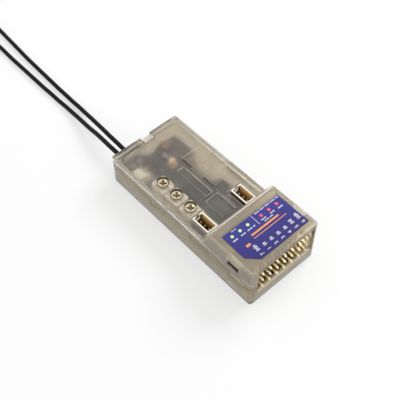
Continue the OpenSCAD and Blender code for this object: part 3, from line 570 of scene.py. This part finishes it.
def socket_cavity(name):
    """Amber light between a socket's walls, which deepens to dark brown at its base."""
    material, tree, shader = new_material(name)
    place = object_place(tree)
    uneven = swing(tree, noise(tree, place, 900.0), 1.6 * MM, axes_of(tree, place)["Z"])
    height = ramped(tree, uneven, SOCKET_BASE * MM, SOCKET_TOP * MM, curve="LINEAR")
    colour = colour_ramp(tree, height, ((0.0, (0.07, 0.035, 0.01)), (0.5, (0.5, 0.3, 0.09)),
                                        (1.0, (0.85, 0.62, 0.3))))
    tree.links.new(colour, shader.inputs["Base Color"])
    shader.inputs["Roughness"].default_value = 0.3
    add_bump(tree, shader, uneven, 0.1, 0.02)
    return material


def finish(name):
    """The finish of that name, built on first use from the panel's colours."""
    material = bpy.data.materials.get(name + " finish")
    if material:
        return material
    tones = bpy.context.scene.receiver_colours
    build = {
        # Case
        "tub_plastic": lambda: frosted(name, tones.tub, 0.18, 0.12, 0.02, 0.74, foot_shade=0.85,
                                       edge_shade=0.85),
        # Painted shade along the case's bottom edge
        "tub_foot_shade": lambda: moulded(name, tones.foot_shading, 0.3, 0.2, 150, 9000, 0.02, 0.2),
        "tub_underside": lambda: frosted(name, tones.inside, 0.3, 0.1, 0.02, 0.9),
        "tub_inside": lambda: frosted(name, tones.inside, 0.4, 0.1, 0.1, 0.75),
        "deck_plastic": lambda: frosted(name, tones.deck, 0.1, 0.08, 0.02, 0.96, edge_shade=0.85),
        "deck_inside": lambda: frosted(name, tones.deck, 0.3, 0.08, 0.05, 0.98),
        "hood_plastic": lambda: frosted(name, tones.hood, 0.15, 0.12, 0.02, 0.8, edge_shade=0.8),
        "hood_inside": lambda: frosted(name, tones.hood, 0.45, 0.1, 0.1, 0.8),
        # Painted light on the slope behind the hood
        "crest_painted_light": lambda: frosted(name, tones.rim_light, 0.15, 0.1, 0.02, 0.4),
        # Painted highlight on the steps of the pockets, the label recess and the snap windows
        "cover_rim_highlight": lambda: frosted(name, tones.rim_light, 0.25, 0.1, 0.05, 0.3),
        # Painted light on the rear tongue
        "tongue_painted_light": lambda: frosted(name, tones.rim_light, 0.25, 0.1, 0.05, 0.6),
        "slit_shade": lambda: moulded(name, (0.1, 0.08, 0.06), 0.4, 0.3, 300),
        "slot_shade": lambda: moulded(name, (0.2, 0.13, 0.06), 0.35, 0.3, 900),
        # Metal
        "gold_pins": lambda: plated(name, (0.9, 0.74, 0.44), (0.5, 0.34, 0.14), 0.2, 0.35),
        # Painted highlight on pin ends, contact tips and rotor faces
        "gold_highlight": lambda: plated(name, (1.0, 0.93, 0.78), (0.8, 0.62, 0.36), 0.3, 0.2),
        "brass_rotor": lambda: plated(name, (0.85, 0.7, 0.4), (0.4, 0.28, 0.12), 0.25),
        "tinned_metal": lambda: plated(name, (0.3, 0.3, 0.3), (0.12, 0.12, 0.11), 0.35),
        # Board and its parts
        "circuit_board": lambda: circuit_board(name),
        "dark_lid": lambda: moulded(name, (0.07, 0.072, 0.078), 0.35, 0.3, 700),
        "black_plastic": lambda: moulded(name, (0.02, 0.02, 0.02), 0.4),
        "chip_black": lambda: moulded(name, (0.02, 0.02, 0.022), 0.5, 0.2, 500),
        "orange_epoxy": lambda: moulded(name, (0.35, 0.19, 0.11), 0.3, 0.2, 500),
        "peach_ceramic": lambda: moulded(name, (0.85, 0.6, 0.4), 0.4, 0.15, 500),
        "tan_ceramic": lambda: moulded(name, (0.2, 0.14, 0.085), 0.4, 0.3, 800),
        "green_lens": lambda: lamp_lens(name, (0.35, 0.85, 0.3)),
        "red_lens": lambda: lamp_lens(name, (0.85, 0.08, 0.12)),
        "socket_plastic": lambda: moulded(name, tones.socket, 0.4, 0.1, subsurface=0.2),
        "socket_inside": lambda: socket_cavity(name),
        "trimmer_plastic": lambda: moulded(name, tones.trimmer, 0.42, 0.1, subsurface=0.2),
        # Label
        "label_film": lambda: printed_film(name, tones.label),
        "print_white": lambda: moulded(name, (0.78, 0.78, 0.82), 0.4, 0.12, 900),
        "print_orange": lambda: moulded(name, (0.85, 0.33, 0.08), 0.4, 0.25, 900),
        "print_green": lambda: moulded(name, (0.55, 0.85, 0.35), 0.4, 0.2, 900),
        "print_red": lambda: moulded(name, (0.85, 0.1, 0.18), 0.4, 0.2, 900),
        # Antennas
        "cable_jacket": lambda: moulded(name, (0.006, 0.006, 0.006), 0.42, 0.3, 900, 6000, 0.2,
                                        specular=0.2),
        "bare_dielectric": lambda: moulded(name, (0.82, 0.8, 0.74), 0.35, 0.1, 900, subsurface=0.3),
        "grommet_rubber": lambda: moulded(name, (0.03, 0.03, 0.03), 0.6, 0.2, 400),
        # Painted light on the grommet's face toward the board
        "grommet_painted_light": lambda: moulded(name, (0.85, 0.8, 0.72), 0.5, 0.2, 400),
        "tie_rubber": lambda: moulded(name, (0.012, 0.012, 0.012), 0.6, 0.2, 400),
        "studio_floor": lambda: floor_surface(name),
    }
    return build[name]()


# Sizes and colours

def size(name, description, default, low, high):
    return FloatProperty(name=name, description=description + " in millimetres", default=default,
                         min=low, max=high)


def tint(name, description, colour):
    return FloatVectorProperty(name=name, description=description, subtype="COLOR", size=3,
                               default=colour, min=0, max=1)


class ReceiverSizes(bpy.types.PropertyGroup):
    edge: size("Case Edge", "Width of the softened edges of the case", 0.12, 0.02, 0.3)
    pin_width: size("Pin Width", "Width of the square servo pins", 0.64, 0.4, 0.8)
    pin_pitch: size("Pin Pitch", "Pitch of the servo pins", 2.54, 2, 3)
    channels: IntProperty(name="Channels", description="Columns of servo pins", default=7, min=1, max=12)
    digit_height: size("Digit Height", "Height of the channel numbers", 1.5, 0.5, 3)
    cable: FloatProperty(name="Antenna Cable", description="Diameter of the antenna cable",
                         default=COAX * MM, min=0.0005, max=0.003, subtype="DISTANCE", unit="LENGTH")


class ReceiverColours(bpy.types.PropertyGroup):
    tub: tint("Tub", "Tint of the lower half of the case", (0.62, 0.5, 0.27))
    # The foot's tint is painted shade along the case's bottom edge
    foot_shading: tint("Foot", "Tint of the lower half's bottom edge", (0.1, 0.09, 0.065))
    inside: tint("Inside", "Tint of the lower half's inner faces", (1.0, 0.97, 0.91))
    deck: tint("Deck", "Tint of the deck", (0.99, 0.95, 0.88))
    hood: tint("Hood", "Tint of the hood and of the cover's walls", (0.84, 0.76, 0.62))
    # Lighter tint for faces that take painted light and painted highlights
    rim_light: tint("Rims", "Tint of the steps round the pockets", (0.95, 0.89, 0.8))
    label: tint("Label", "Colour of the label film", (0.045, 0.042, 0.22))
    socket: tint("Sockets", "Colour of the small sockets", (0.92, 0.88, 0.78))
    trimmer: tint("Trimmers", "Colour of the trimmer bodies", (0.95, 0.91, 0.82))


# Pieces

class RECEIVER_OT_stage(bpy.types.Operator):
    """Places the camera, the table and the soft studio light"""
    bl_idname = "receiver.stage"
    bl_label = "Build Stage"

    def execute(self, context):
        scene = context.scene
        lens = bpy.data.cameras.new("view")
        lens.sensor_width = SENSOR_WIDTH
        lens.lens = FOCAL_LENGTH
        lens.clip_start = 0.01
        camera = bpy.data.objects.new("view", lens)
        scene.collection.objects.link(camera)
        turn = Matrix((CAMERA_RIGHT, CAMERA_UP, CAMERA_BACK)).transposed()
        camera.matrix_world = Matrix.Translation(CAMERA_PLACE) @ turn.to_4x4()
        scene.camera = camera

        bm = bmesh.new()
        bmesh.ops.create_grid(bm, x_segments=8, y_segments=8, size=1.5)
        floor = add_object("floor", mesh_from(bm, "floor"), "studio_floor")

        # The surroundings look white, and light the object a little less
        world = bpy.data.worlds.new("studio")
        world.use_nodes = True
        tree = world.node_tree
        sky = tree.nodes["Background"]
        path = tree.nodes.new("ShaderNodeLightPath").outputs
        seen = maths(tree, "MAXIMUM", path["Is Camera Ray"], path["Is Transmission Ray"])
        tree.links.new(maths(tree, "MULTIPLY_ADD", seen, 0.35, 0.65), sky.inputs["Strength"])
        sky.inputs["Color"].default_value = (1, 1, 1, 1)
        scene.world = world

        for name, place, diameter, power in LAMPS:
            lamp = bpy.data.lights.new(name, "AREA")
            lamp.shape = "DISK"
            lamp.size = diameter
            lamp.energy = power
            holder = bpy.data.objects.new(name, lamp)
            scene.collection.objects.link(holder)
            holder.location = place
            holder.rotation_euler = (-Vector(place)).to_track_quat("-Z", "Y").to_euler()
        scene.view_settings.view_transform = "Standard"
        return {"FINISHED"}


def smooth_line(points, steps=4):
    """Points of a Catmull-Rom curve through the given points."""
    line = []
    for i in range(len(points) - 1):
        p0, p1, p2 = points[max(i - 1, 0)], points[i], points[i + 1]
        p3 = points[min(i + 2, len(points) - 1)]
        for k in range(steps):
            t = k / steps
            line.append(0.5 * (2 * p1 + (p2 - p0) * t + (2 * p0 - 5 * p1 + 4 * p2 - p3) * t * t
                               + (3 * p1 - p0 - 3 * p2 + p3) * t ** 3))
    return line + [points[-1]]


def tube(name, line, diameter, paint, sides=16):
    """Closed round tube along a line of points."""
    bm = bmesh.new()
    rings = []
    for i, p in enumerate(line):
        along = (line[min(i + 1, len(line) - 1)] - line[max(i - 1, 0)]).normalized()
        side = along.cross(Vector((0, 0, 1))).normalized()
        up = side.cross(along)
        rings.append([bm.verts.new(p + (math.cos(a) * side + math.sin(a) * up) * diameter / 2)
                      for a in (2 * math.pi * k / sides for k in range(sides))])
    skin(bm, rings)
    mesh = mesh_from(bm, name)
    shade_by_angle(mesh, 50)
    return add_object(name, mesh, paint)


class RECEIVER_OT_antennas(bpy.types.Operator):
    """Lays the two antenna cables with their stored turns, tips and ties"""
    bl_idname = "receiver.antennas"
    bl_label = "Build Antennas"

    def execute(self, context):
        cable = context.scene.receiver_sizes.cable
        for side, route, turn in ANTENNAS:
            line = smooth_line([millimetres(p) for p in route])
            middle = millimetres((route[-1][0] - COIL_RADIUS, route[-1][1], COIL))
            steps = round(turn / COIL_STEP)
            for k in range(1, steps + 1):
                a = math.radians(turn * k / steps)
                line.append(middle + Vector((math.cos(a), math.sin(a), 0)) * COIL_RADIUS * MM)
            piece = tube("antenna_cable_" + side, line, cable, "cable_jacket")
            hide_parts("antenna_" + side, "antenna_%s_coil" % side)
            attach(piece, BODY)
            tip = solid_copy("antenna_%s_tip" % side, "bare_tip_" + side, "bare_dielectric")
            tie = solid_copy("antenna_%s_tie" % side, "coil_tie_" + side, "tie_rubber", 0.06)
        return {"FINISHED"}


class RECEIVER_OT_case(bpy.types.Operator):
    """Dresses the two halves of the case in frosted plastic with softened edges"""
    bl_idname = "receiver.case"
    bl_label = "Build Case"

    def execute(self, context):
        edge = context.scene.receiver_sizes.edge
        tub = solid_copy("base_tub", "case_tub", "tub_plastic", edge)
        for paint, test in (
                ("tub_inside", lambda x, y, z, n: abs(x) < HOLLOW_X and abs(y) < HOLLOW_Y and z > FLOOR_TOP),
                # The rounded bottom edge is painted in shade
                ("tub_foot_shade", lambda x, y, z, n: z < FOOT_TOP and n.z > -FLAT),
                ("tub_underside", lambda x, y, z, n: z < 0.1 and n.z < -FLAT),
                # Painted shade on the tongues in the snap windows, and painted light on the one at the rear
                ("slit_shade", lambda x, y, z, n: z > 9.5 and abs(x) > WINDOW_X),
                ("tongue_painted_light", lambda x, y, z, n: z > 8.1 and abs(x) < 3)):
            paint_faces(tub, paint, test)

        cover = solid_copy("top_cover", "case_cover", "deck_plastic", edge)
        for paint, test in (
                ("hood_plastic", lambda x, y, z, n: y < HOOD_REAR
                 or z < SKIRT_TOP and (abs(x) > OUTER_X or abs(y) > OUTER_Y)),
                # Painted light: the slope that faces back is lighter, as if lit
                ("crest_painted_light", lambda x, y, z, n: CREST_FRONT < y < CREST_REAR and z > 9.7 and n.y > 0.15),
                ("deck_inside", lambda x, y, z, n: abs(x) < HOLLOW_X and HOOD_REAR < y < HOLLOW_Y
                 and z < DECK_UNDER),
                ("hood_inside", lambda x, y, z, n: abs(x) < HOLLOW_X and -HOLLOW_Y < y < HOOD_REAR
                 and z < HOOD_UNDER),
                # Steps round the pockets in the deck and round the label, painted paler as highlights
                ("cover_rim_highlight", lambda x, y, z, n: abs(x) < 10.5 and CREST_REAR < y < 25.5
                 and DECK_UNDER < z < DECK_OVER and abs(n.z) < FLAT),
                ("cover_rim_highlight", lambda x, y, z, n: abs(x - LABEL_X) < RECESS_HALF_X and abs(n.z) < FLAT
                 and RECESS_FRONT < y < RECESS_REAR and RECESS_UNDER < z < RECESS_OVER)):
            paint_faces(cover, paint, test)
        # Walls of the round holes over the rotors
        for i in (1, 2, 3):
            low, high = box_mm("trimmer_rotor_%d" % i)
            axis_x, axis_y = (low[0] + high[0]) / 2, (low[1] + high[1]) / 2
            paint_faces(cover, "slot_shade", lambda x, y, z, n: abs(n.z) < 0.3
                        and math.hypot(x - axis_x, y - axis_y) < ROTOR_HOLE)
        for paint, test in (
                # Sill of the snap windows in painted shade, and their rear end with a painted highlight
                ("slit_shade", lambda x, y, z, n: abs(x) > WINDOW_X and WINDOW_FRONT < y < WINDOW_REAR
                 and 9.8 < z < 10 and n.z > 0.5),
                ("cover_rim_highlight", lambda x, y, z, n: abs(x) > WINDOW_X and 9.9 < z < 11.8
                 and WINDOW_END < y < WINDOW_REAR),
                # Slits along the side pockets' inner edges
                ("slit_shade", lambda x, y, z, n: SLIT_LEFT < x < SLIT_RIGHT and 1 < y < 14
                 and SLIT_UNDER < z < SLIT_OVER and abs(n.z) < 0.9)):
            paint_faces(cover, paint, test)
        return {"FINISHED"}


def repeat_tree():
    """Geometry nodes that repeat the incoming piece along a line and give it its finish."""
    tree = bpy.data.node_groups.get("repeat along x")
    if tree:
        return tree
    tree = bpy.data.node_groups.new("repeat along x", "GeometryNodeTree")
    tree.is_modifier = True
    for name, kind in (("Geometry", "NodeSocketGeometry"), ("Count", "NodeSocketInt"),
                       ("First", "NodeSocketVector"), ("Step", "NodeSocketVector"),
                       ("Finish", "NodeSocketMaterial")):
        tree.interface.new_socket(name=name, in_out="INPUT", socket_type=kind)
    tree.interface.new_socket(name="Geometry", in_out="OUTPUT", socket_type="NodeSocketGeometry")
    inward = tree.nodes.new("NodeGroupInput")
    outward = tree.nodes.new("NodeGroupOutput")
    line = tree.nodes.new("GeometryNodeMeshLine")
    line.mode = "OFFSET"
    tree.links.new(inward.outputs["Count"], line.inputs["Count"])
    tree.links.new(inward.outputs["First"], line.inputs["Start Location"])
    tree.links.new(inward.outputs["Step"], line.inputs["Offset"])
    place = tree.nodes.new("GeometryNodeInstanceOnPoints")
    tree.links.new(line.outputs["Mesh"], place.inputs["Points"])
    tree.links.new(inward.outputs["Geometry"], place.inputs["Instance"])
    real = tree.nodes.new("GeometryNodeRealizeInstances")
    tree.links.new(place.outputs["Instances"], real.inputs["Geometry"])
    paint = tree.nodes.new("GeometryNodeSetMaterial")
    tree.links.new(real.outputs["Geometry"], paint.inputs["Geometry"])
    tree.links.new(inward.outputs["Finish"], paint.inputs["Material"])
    tree.links.new(paint.outputs["Geometry"], outward.inputs["Geometry"])
    return tree


def repeated(name, mesh, count, first, step, paint):
    """One mesh repeated along a line, as a plain mesh."""
    piece = add_object(name, mesh, paint)
    tree = repeat_tree()
    modifier = piece.modifiers.new("repeat", "NODES")
    modifier.node_group = tree
    names = {s.name: s.identifier for s in tree.interface.items_tree if s.in_out == "INPUT"}
    modifier[names["Count"]] = count
    modifier[names["First"]] = tuple(millimetres(first))
    modifier[names["Step"]] = tuple(millimetres(step))
    modifier[names["Finish"]] = finish(paint)
    return baked(piece)


def bent_pin(front, row_z, leg_y, leg_end, width):
    """Right-angle pin at x = 0: square exposed end with a tapered tip, rounded bend and a leg."""
    half, tip, bend, bend_steps = width / 2, 0.5, 0.6, 5
    # Places in Y and Z, the outward direction there, and half the width
    path = [((front, row_z), (0, 1), half * 0.5), ((front + tip, row_z), (0, 1), half)]
    for k in range(bend_steps + 1):
        a = math.radians(90 * k / bend_steps)
        path.append(((leg_y - bend + bend * math.sin(a), row_z - bend + bend * math.cos(a)),
                     (math.sin(a), math.cos(a)), half))
    path += [((leg_y, leg_end + 0.3), (1, 0), half), ((leg_y, leg_end), (1, 0), half * 0.5)]
    bm = bmesh.new()
    skin(bm, [[bm.verts.new(millimetres((across * w, y + out * ny * w, z + out * nz * w)))
               for across, out in ((-1, -1), (1, -1), (1, 1), (-1, 1))]
              for (y, z), (ny, nz), w in path])
    return bm


def edged(bm, name):
    """Mesh with its sharp edges bevelled."""
    sharp = [e for e in bm.edges if len(e.link_faces) == 2 and e.calc_face_angle(0) > math.radians(40)]
    bmesh.ops.bevel(bm, geom=sharp, offset=0.04 * MM, segments=1, affect="EDGES")
    mesh = mesh_from(bm, name)
    shade_by_angle(mesh)
    return mesh


class RECEIVER_OT_header(bpy.types.Operator):
    """Builds the servo header with its rows of bent pins"""
    bl_idname = "receiver.header"
    bl_label = "Build Servo Header"

    def execute(self, context):
        sizes = context.scene.receiver_sizes
        solid_copy("header_block", "header_insulator", "black_plastic", 0.08)
        for row in ("lower", "middle", "upper"):
            low, high = box_mm("header_pins_" + row)
            pin = bent_pin(low[1], high[2] - PIN_HALF, high[1] - PIN_HALF, low[2], sizes.pin_width)
            piece = repeated("servo_pins_" + row, edged(pin, "pin_" + row), sizes.channels,
                             (low[0] + PIN_HALF, 0, 0), (sizes.pin_pitch, 0, 0), "gold_pins")
            shade_by_angle(piece.data)
            # The pins' ends take a painted highlight
            highlight_limit = low[1] + HIGHLIGHT_END
            paint_faces(piece, "gold_highlight", lambda x, y, z, n: y < highlight_limit)
            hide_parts("header_pins_" + row)
            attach(piece, BODY)
        return {"FINISHED"}


class RECEIVER_OT_sockets(bpy.types.Operator):
    """Dresses the two small sockets and their contacts"""
    bl_idname = "receiver.sockets"
    bl_label = "Build Sockets"

    def execute(self, context):
        margin = 0.1
        for side in ("left", "right"):
            shell = solid_copy(side + "_socket", side + "_socket_shell", "socket_plastic", 0.06)
            (x0, y0, _), (x1, y1, z1) = box_mm(side + "_socket")
            for paint, test in (
                    ("socket_inside", lambda x, y, z, n: x0 + SOCKET_WALL < x < x1 - SOCKET_WALL
                     and y0 + SOCKET_WALL < y < y1 - SOCKET_WALL and z < z1 - margin),
                    # Outer sides, in the narrow gap of the cut-out
                    ("slit_shade", lambda x, y, z, n: abs(n.z) < 0.3 and z < z1 - 0.2
                     and not (x0 + margin < x < x1 - margin
                              and y0 + margin < y < y1 - margin)),
                    # The end that faces the pins lies in the deck's shade
                    ("slot_shade", lambda x, y, z, n: n.y < -0.7 and z < z1 - 0.5
                     and x0 + SOCKET_WALL < x < x1 - SOCKET_WALL and y > y0 + 3)):
                paint_faces(shell, paint, test)
            contacts = solid_copy(side + "_socket_pins", side + "_socket_contacts", "gold_pins", 0.03, 1)
            # The contacts' tips take a painted highlight
            tips = box_mm(side + "_socket_pins")[1][2] - 0.5
            paint_faces(contacts, "gold_highlight", lambda x, y, z, n: z > tips)
        return {"FINISHED"}


class RECEIVER_OT_trimmers(bpy.types.Operator):
    """Dresses the trimmers' bodies and the rotors that turn in them"""
    bl_idname = "receiver.trimmers"
    bl_label = "Build Trimmers"

    def execute(self, context):
        for i in (1, 2, 3):
            solid_copy("trimmer_body_%d" % i, "trimmer_case_%d" % i, "trimmer_plastic", 0.08)
            screw = solid_copy("trimmer_rotor_%d" % i, "trimmer_screw_%d" % i, "brass_rotor", 0.05,
                               body="rotor_%d" % i)
            top = box_mm("trimmer_rotor_%d" % i)[1][2]
            paint_faces(screw, "slot_shade", lambda x, y, z, n: top - SLOT_LOW < z < top - SLOT_HIGH)
            # The rotor's top face takes a painted highlight
            paint_faces(screw, "gold_highlight", lambda x, y, z, n: z > top - FACE_DEPTH)
        return {"FINISHED"}


class RECEIVER_OT_board(bpy.types.Operator):
    """Dresses the circuit board and the parts that stand on it"""
    bl_idname = "receiver.board"
    bl_label = "Build Board"

    def execute(self, context):
        for node, name, paint, bevel in (
                ("main_board", "board", "circuit_board", 0.03),
                ("microcontroller", "microcontroller_package", "chip_black", 0.03),
                ("motion_sensor", "motion_sensor_package", "chip_black", 0.03),
                ("radio_chip", "radio_chip_lid", "dark_lid", 0.05),
                ("radio_amplifier", "radio_amplifier_lid", "dark_lid", 0.05),
                ("radio_crystal", "radio_crystal_can", "tinned_metal", 0.05),
                ("voltage_regulator", "voltage_regulator_package", "chip_black", 0.03),
                ("tantalum_capacitor", "tantalum_capacitor_body", "orange_epoxy", 0.08),
                ("ceramic_capacitor", "ceramic_capacitor_body", "peach_ceramic", 0.05),
                ("chip_capacitors", "chip_capacitor_bodies", "tan_ceramic", 0.05),
                ("status_led", "status_lamp", "trimmer_plastic", 0.08),
                ("green_leds", "green_lamps", "green_lens", 0.05),
                ("red_leds", "red_lamps", "red_lens", 0.05),
                ("antenna_plugs", "antenna_plug_heads", "tinned_metal", 0.05),
                ("antenna_leads", "antenna_inner_leads", "cable_jacket", 0),
                ("antenna_grommet", "wall_grommet", "grommet_rubber", 0.08)):
            solid_copy(node, name, paint, bevel)
        # Painted light: the grommet's face toward the board is coloured pale, as it shows pale through the
        # deck
        paint_faces(bpy.data.objects["wall_grommet"], "grommet_painted_light",
                    lambda x, y, z, n: y < 25.02 and z < 7.9)
        return {"FINISHED"}


def printed_digit(text, x, y, height, low, high):
    """Bmesh of a raised printed digit whose top points to the left."""
    curve = bpy.data.curves.new("digit", "FONT")
    curve.body = text
    curve.size = height * MM
    curve.align_x = "CENTER"
    curve.align_y = "CENTER"
    curve.extrude = (high - low) / 2 * MM
    curve.resolution_u = 3
    holder = bpy.data.objects.new("digit", curve)
    bpy.context.scene.collection.objects.link(holder)
    graph = bpy.context.evaluated_depsgraph_get()
    mesh = bpy.data.meshes.new_from_object(holder.evaluated_get(graph), depsgraph=graph)
    quarter_turn = Matrix.Rotation(math.radians(90), 4, "Z")
    mesh.transform(Matrix.Translation(millimetres((x, y, (low + high) / 2))) @ quarter_turn)
    bpy.data.objects.remove(holder)
    bpy.data.curves.remove(curve)
    bm = bmesh.new()
    bm.from_mesh(mesh)
    bpy.data.meshes.remove(mesh)
    bmesh.ops.remove_doubles(bm, verts=bm.verts, dist=0.001 * MM)
    return bm


class RECEIVER_OT_label(bpy.types.Operator):
    """Prints the label with plain channel numbers, lamp dots and rules"""
    bl_idname = "receiver.label"
    bl_label = "Build Label"

    def execute(self, context):
        sizes = context.scene.receiver_sizes
        solid_copy("label", "label_film", "label_film", 0.03, 1)
        base = box_mm("label")[1][2] - 0.01
        top = base + 0.03

        def stamp(target, *shape):
            merge_into(target, prism(rounded_rectangle(*shape), base, top))

        # Channel numbers, each under a small stack of bars
        white = bmesh.new()
        for i in range(sizes.channels):
            x = NUMBERS_X + (i - (sizes.channels - 1) / 2) * NUMBER_SPREAD * sizes.pin_pitch
            digit = str((i - 1) % sizes.channels + 1)
            merge_into(white, printed_digit(digit, x, NUMBERS_Y, sizes.digit_height, base, top))
            for k, (wide, thick) in enumerate(BARS[:BAR_COUNTS[i % len(BAR_COUNTS)]]):
                stamp(white, x, BARS_Y + BAR_STEP * k, wide, thick, 0.1)
        stamp(white, LABEL_X, -15.7, 0.12, 3.4, 0.05)
        # Rows of short bars stand for the small notes beside the lamp dots
        for start, end, y, tall in NOTES:
            x, k = start, 0
            while x < end:
                wide = (0.2, 0.34, 0.16, 0.28)[k % 4]
                stamp(white, x + wide / 2, y, wide, tall * (1.0, 0.7, 0.85)[k % 3], 0.07)
                x += wide + (0.13, 0.13, 0.13, 0.4)[k % 4]
                k += 1
        orange = bmesh.new()
        for x, y, wide, thick in RULES:
            stamp(orange, x, y, wide, thick, 0.1)
        prints = [("label_numbers", white, "print_white"), ("label_rules", orange, "print_orange")]
        for name, xs, y, paint in DOTS:
            dots = bmesh.new()
            for x in xs:
                stamp(dots, x, y, DOT_SIZE, DOT_SIZE, DOT_SIZE / 2 - 0.001, 8)
            prints.append((name, dots, paint))
        for name, bm, paint in prints:
            piece = add_object(name, mesh_from(bm, name), paint)
            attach(piece, BODY)
        return {"FINISHED"}


class RECEIVER_PT_panel(bpy.types.Panel):
    """Lists the receiver's sizes, colours and building steps"""
    bl_label = "Radio Receiver"
    bl_idname = "RECEIVER_PT_panel"
    bl_space_type = "VIEW_3D"
    bl_region_type = "UI"
    bl_category = "Receiver"

    def draw(self, context):
        column = self.layout.column()
        for group in (context.scene.receiver_sizes, context.scene.receiver_colours):
            for name in group.__annotations__:
                column.prop(group, name)
        for step in STEPS:
            column.operator(step.bl_idname)


STEPS = (RECEIVER_OT_stage, RECEIVER_OT_antennas, RECEIVER_OT_case, RECEIVER_OT_header,
         RECEIVER_OT_sockets, RECEIVER_OT_trimmers, RECEIVER_OT_board, RECEIVER_OT_label)
CLASSES = (ReceiverSizes, ReceiverColours, *STEPS, RECEIVER_PT_panel)


def register():
    for item in CLASSES:
        bpy.utils.register_class(item)
    bpy.types.Scene.receiver_sizes = PointerProperty(type=ReceiverSizes)
    bpy.types.Scene.receiver_colours = PointerProperty(type=ReceiverColours)


def unregister():
    del bpy.types.Scene.receiver_colours
    del bpy.types.Scene.receiver_sizes
    for item in reversed(CLASSES):
        bpy.utils.unregister_class(item)


def main():
    register()
    bpy.ops.receiver.stage()
    bpy.ops.receiver.antennas()
    bpy.ops.receiver.case()
    bpy.ops.receiver.header()
    bpy.ops.receiver.sockets()
    bpy.ops.receiver.trimmers()
    bpy.ops.receiver.board()
    bpy.ops.receiver.label()


if __name__ == "__main__":
    main()
